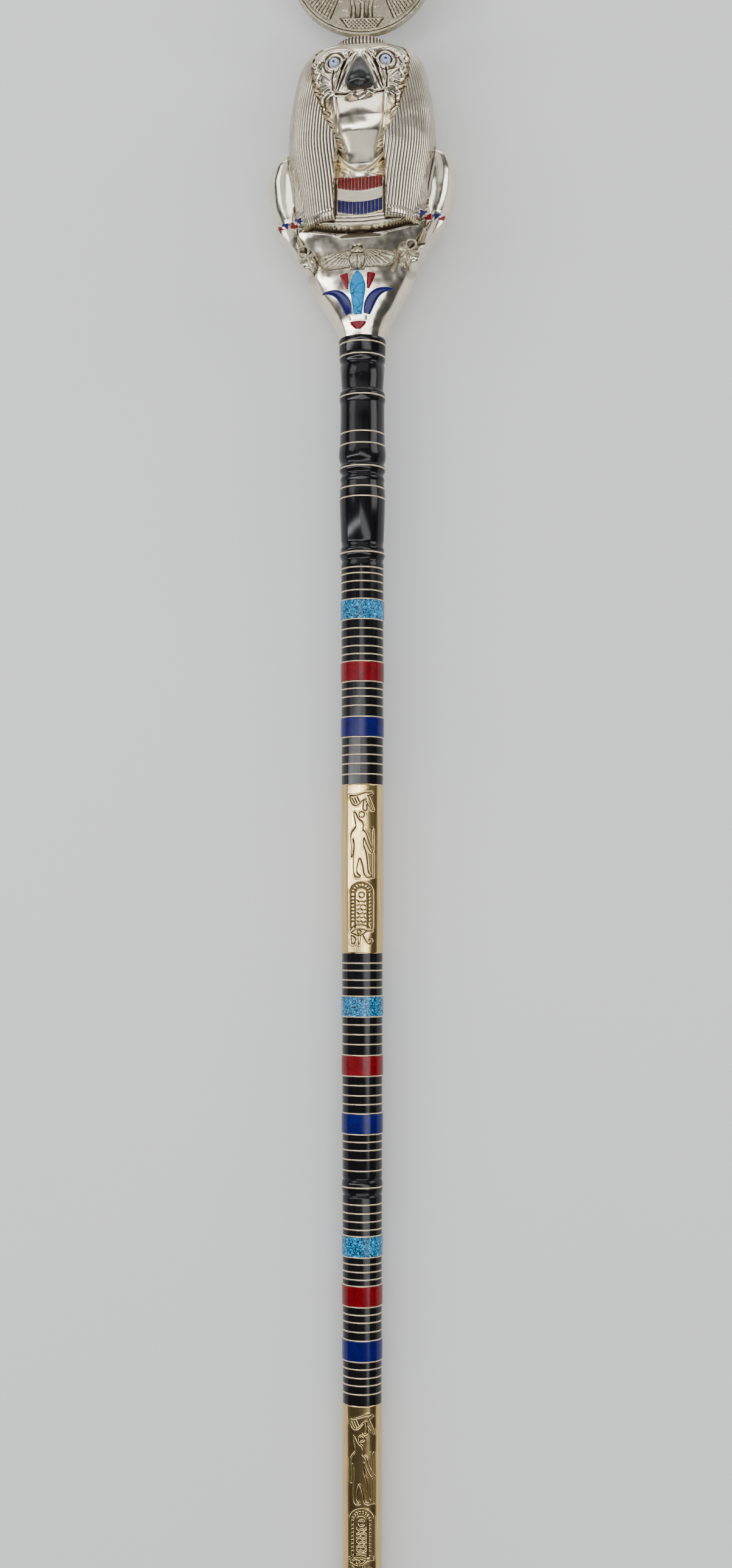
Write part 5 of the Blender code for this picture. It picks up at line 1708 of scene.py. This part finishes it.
class SCEPTRE_OT_stage(SceptrePiece, bpy.types.Operator):
    """Lay the pale floor, set the soft lights and place the camera"""

    bl_idname = "sceptre.stage"
    bl_label = "Floor, lights and camera"

    def execute(self, context):
        settings = context.scene.sceptre_stage
        bpy.ops.object.select_all(action="DESELECT")
        bpy.ops.mesh.primitive_plane_add(size=8, location=(0, 0, solid_box[0][2]))
        floor = context.object
        floor.name = "studio_floor"
        paper = Finish("pale_floor")
        tone = tuple(settings.floor_colour)
        paper.link(paper.ramp(paper.noise(6, 3), ((0.3, shade(tone, 0.98)), (0.7, tone))), "Base Color")
        paper.set(Roughness=0.75)
        floor.data.materials.append(paper.material)

        world = bpy.data.worlds.new("studio")
        world.use_nodes = True
        world.node_tree.nodes["Background"].inputs["Color"].default_value = (0.06, 0.062, 0.068, 1)
        context.scene.world = world
        area_light("overhead_softbox", (0.42, -0.15, 1.5), (0, 0.05, 0), (0.5, 1.8), 15, (0.95, 0.97, 1.0))
        area_light("left_strip", (-0.95, 0.0, 0.95), (0, 0.05, 0), (0.14, 1.9), 11, (0.93, 0.96, 1.0))
        area_light("left_softbox", (-1.25, 1.0, 1.05), (0, 0.35, 0), (0.9, 0.9), 9)
        area_light("right_softbox", (1.5, 0.75, 0.7), (0, 0.35, 0), (0.7, 1.0), 10)
        area_light("head_softbox", (0.1, 1.35, 0.30), (0, 0.35, 0.05), (1.6, 0.5), 7)
        area_light("foot_softbox", (0.1, -1.7, 1.1), (0, 0.3, 0), (2.2, 0.9), 18)
        area_light("head_ceiling", (-0.1, 1.25, 1.5), (0, 0.4, 0), (2.4, 1.1), 7.5)

        bpy.ops.object.camera_add()
        camera = context.object
        camera.name = "photo_camera"
        tilt, orbit = math.radians(4.04), math.radians(2.5)
        away = Vector((math.sin(orbit), -math.cos(orbit), 0))
        # A few millimetres aside, so that the shaft stands left of the picture's middle
        place = away * settings.distance + Vector((0.0020, 0, settings.aim))
        look = (-away * math.cos(tilt) + Vector((0, 0, math.sin(tilt)))).normalized()
        turn = look.to_track_quat("-Z", "Y").to_matrix()
        right = look.cross(Vector((0, 0, 1))).normalized()
        up = right.cross(look)
        turn = Matrix((right, up, -look)).transposed()
        camera.matrix_world = rest @ Matrix.Translation(place) @ turn.to_4x4()
        camera.data.sensor_fit = "VERTICAL"
        camera.data.sensor_height = 36
        camera.data.lens = 36 * 2980 / 2576
        camera.data.clip_start = 0.01
        context.scene.camera = camera
        return {"FINISHED"}


class SCEPTRE_PT_panel(bpy.types.Panel):
    """Lists the pieces and the sizes and colours that shape them"""

    bl_idname = "SCEPTRE_PT_panel"
    bl_label = "Sceptre"
    bl_space_type = "VIEW_3D"
    bl_region_type = "UI"
    bl_category = "Sceptre"

    def draw(self, context):
        for group in setting_groups:
            box = self.layout.box()
            values = getattr(context.scene, group)
            for name in values.bl_rna.properties.keys():
                if name not in ("rna_type", "name"):
                    box.prop(values, name)
        for operator in piece_operators:
            self.layout.operator(operator.bl_idname)


setting_groups = {
    "sceptre_shaft": SceptreShaft,
    "sceptre_bust": SceptreBust,
    "sceptre_disc": SceptreDisc,
    "sceptre_stones": SceptreStones,
    "sceptre_stage": SceptreStage,
}
piece_operators = (
    SCEPTRE_OT_shaft, SCEPTRE_OT_rings, SCEPTRE_OT_bands, SCEPTRE_OT_sleeves, SCEPTRE_OT_bust,
    SCEPTRE_OT_collar, SCEPTRE_OT_armlets, SCEPTRE_OT_lotus, SCEPTRE_OT_eyes, SCEPTRE_OT_beak,
    SCEPTRE_OT_ornaments, SCEPTRE_OT_disc, SCEPTRE_OT_stage,
)


def register():
    for made in (*setting_groups.values(), *piece_operators, SCEPTRE_PT_panel):
        bpy.utils.register_class(made)
    for name, group in setting_groups.items():
        setattr(bpy.types.Scene, name, PointerProperty(type=group))


def unregister():
    for name in setting_groups:
        delattr(bpy.types.Scene, name)
    for made in reversed((*setting_groups.values(), *piece_operators, SCEPTRE_PT_panel)):
        bpy.utils.unregister_class(made)


def main():
    register()
    bpy.ops.object.select_all(action="DESELECT")
    for operator in piece_operators:
        group, name = operator.bl_idname.split(".")
        getattr(getattr(bpy.ops, group), name)()


if __name__ == "__main__":
    main()
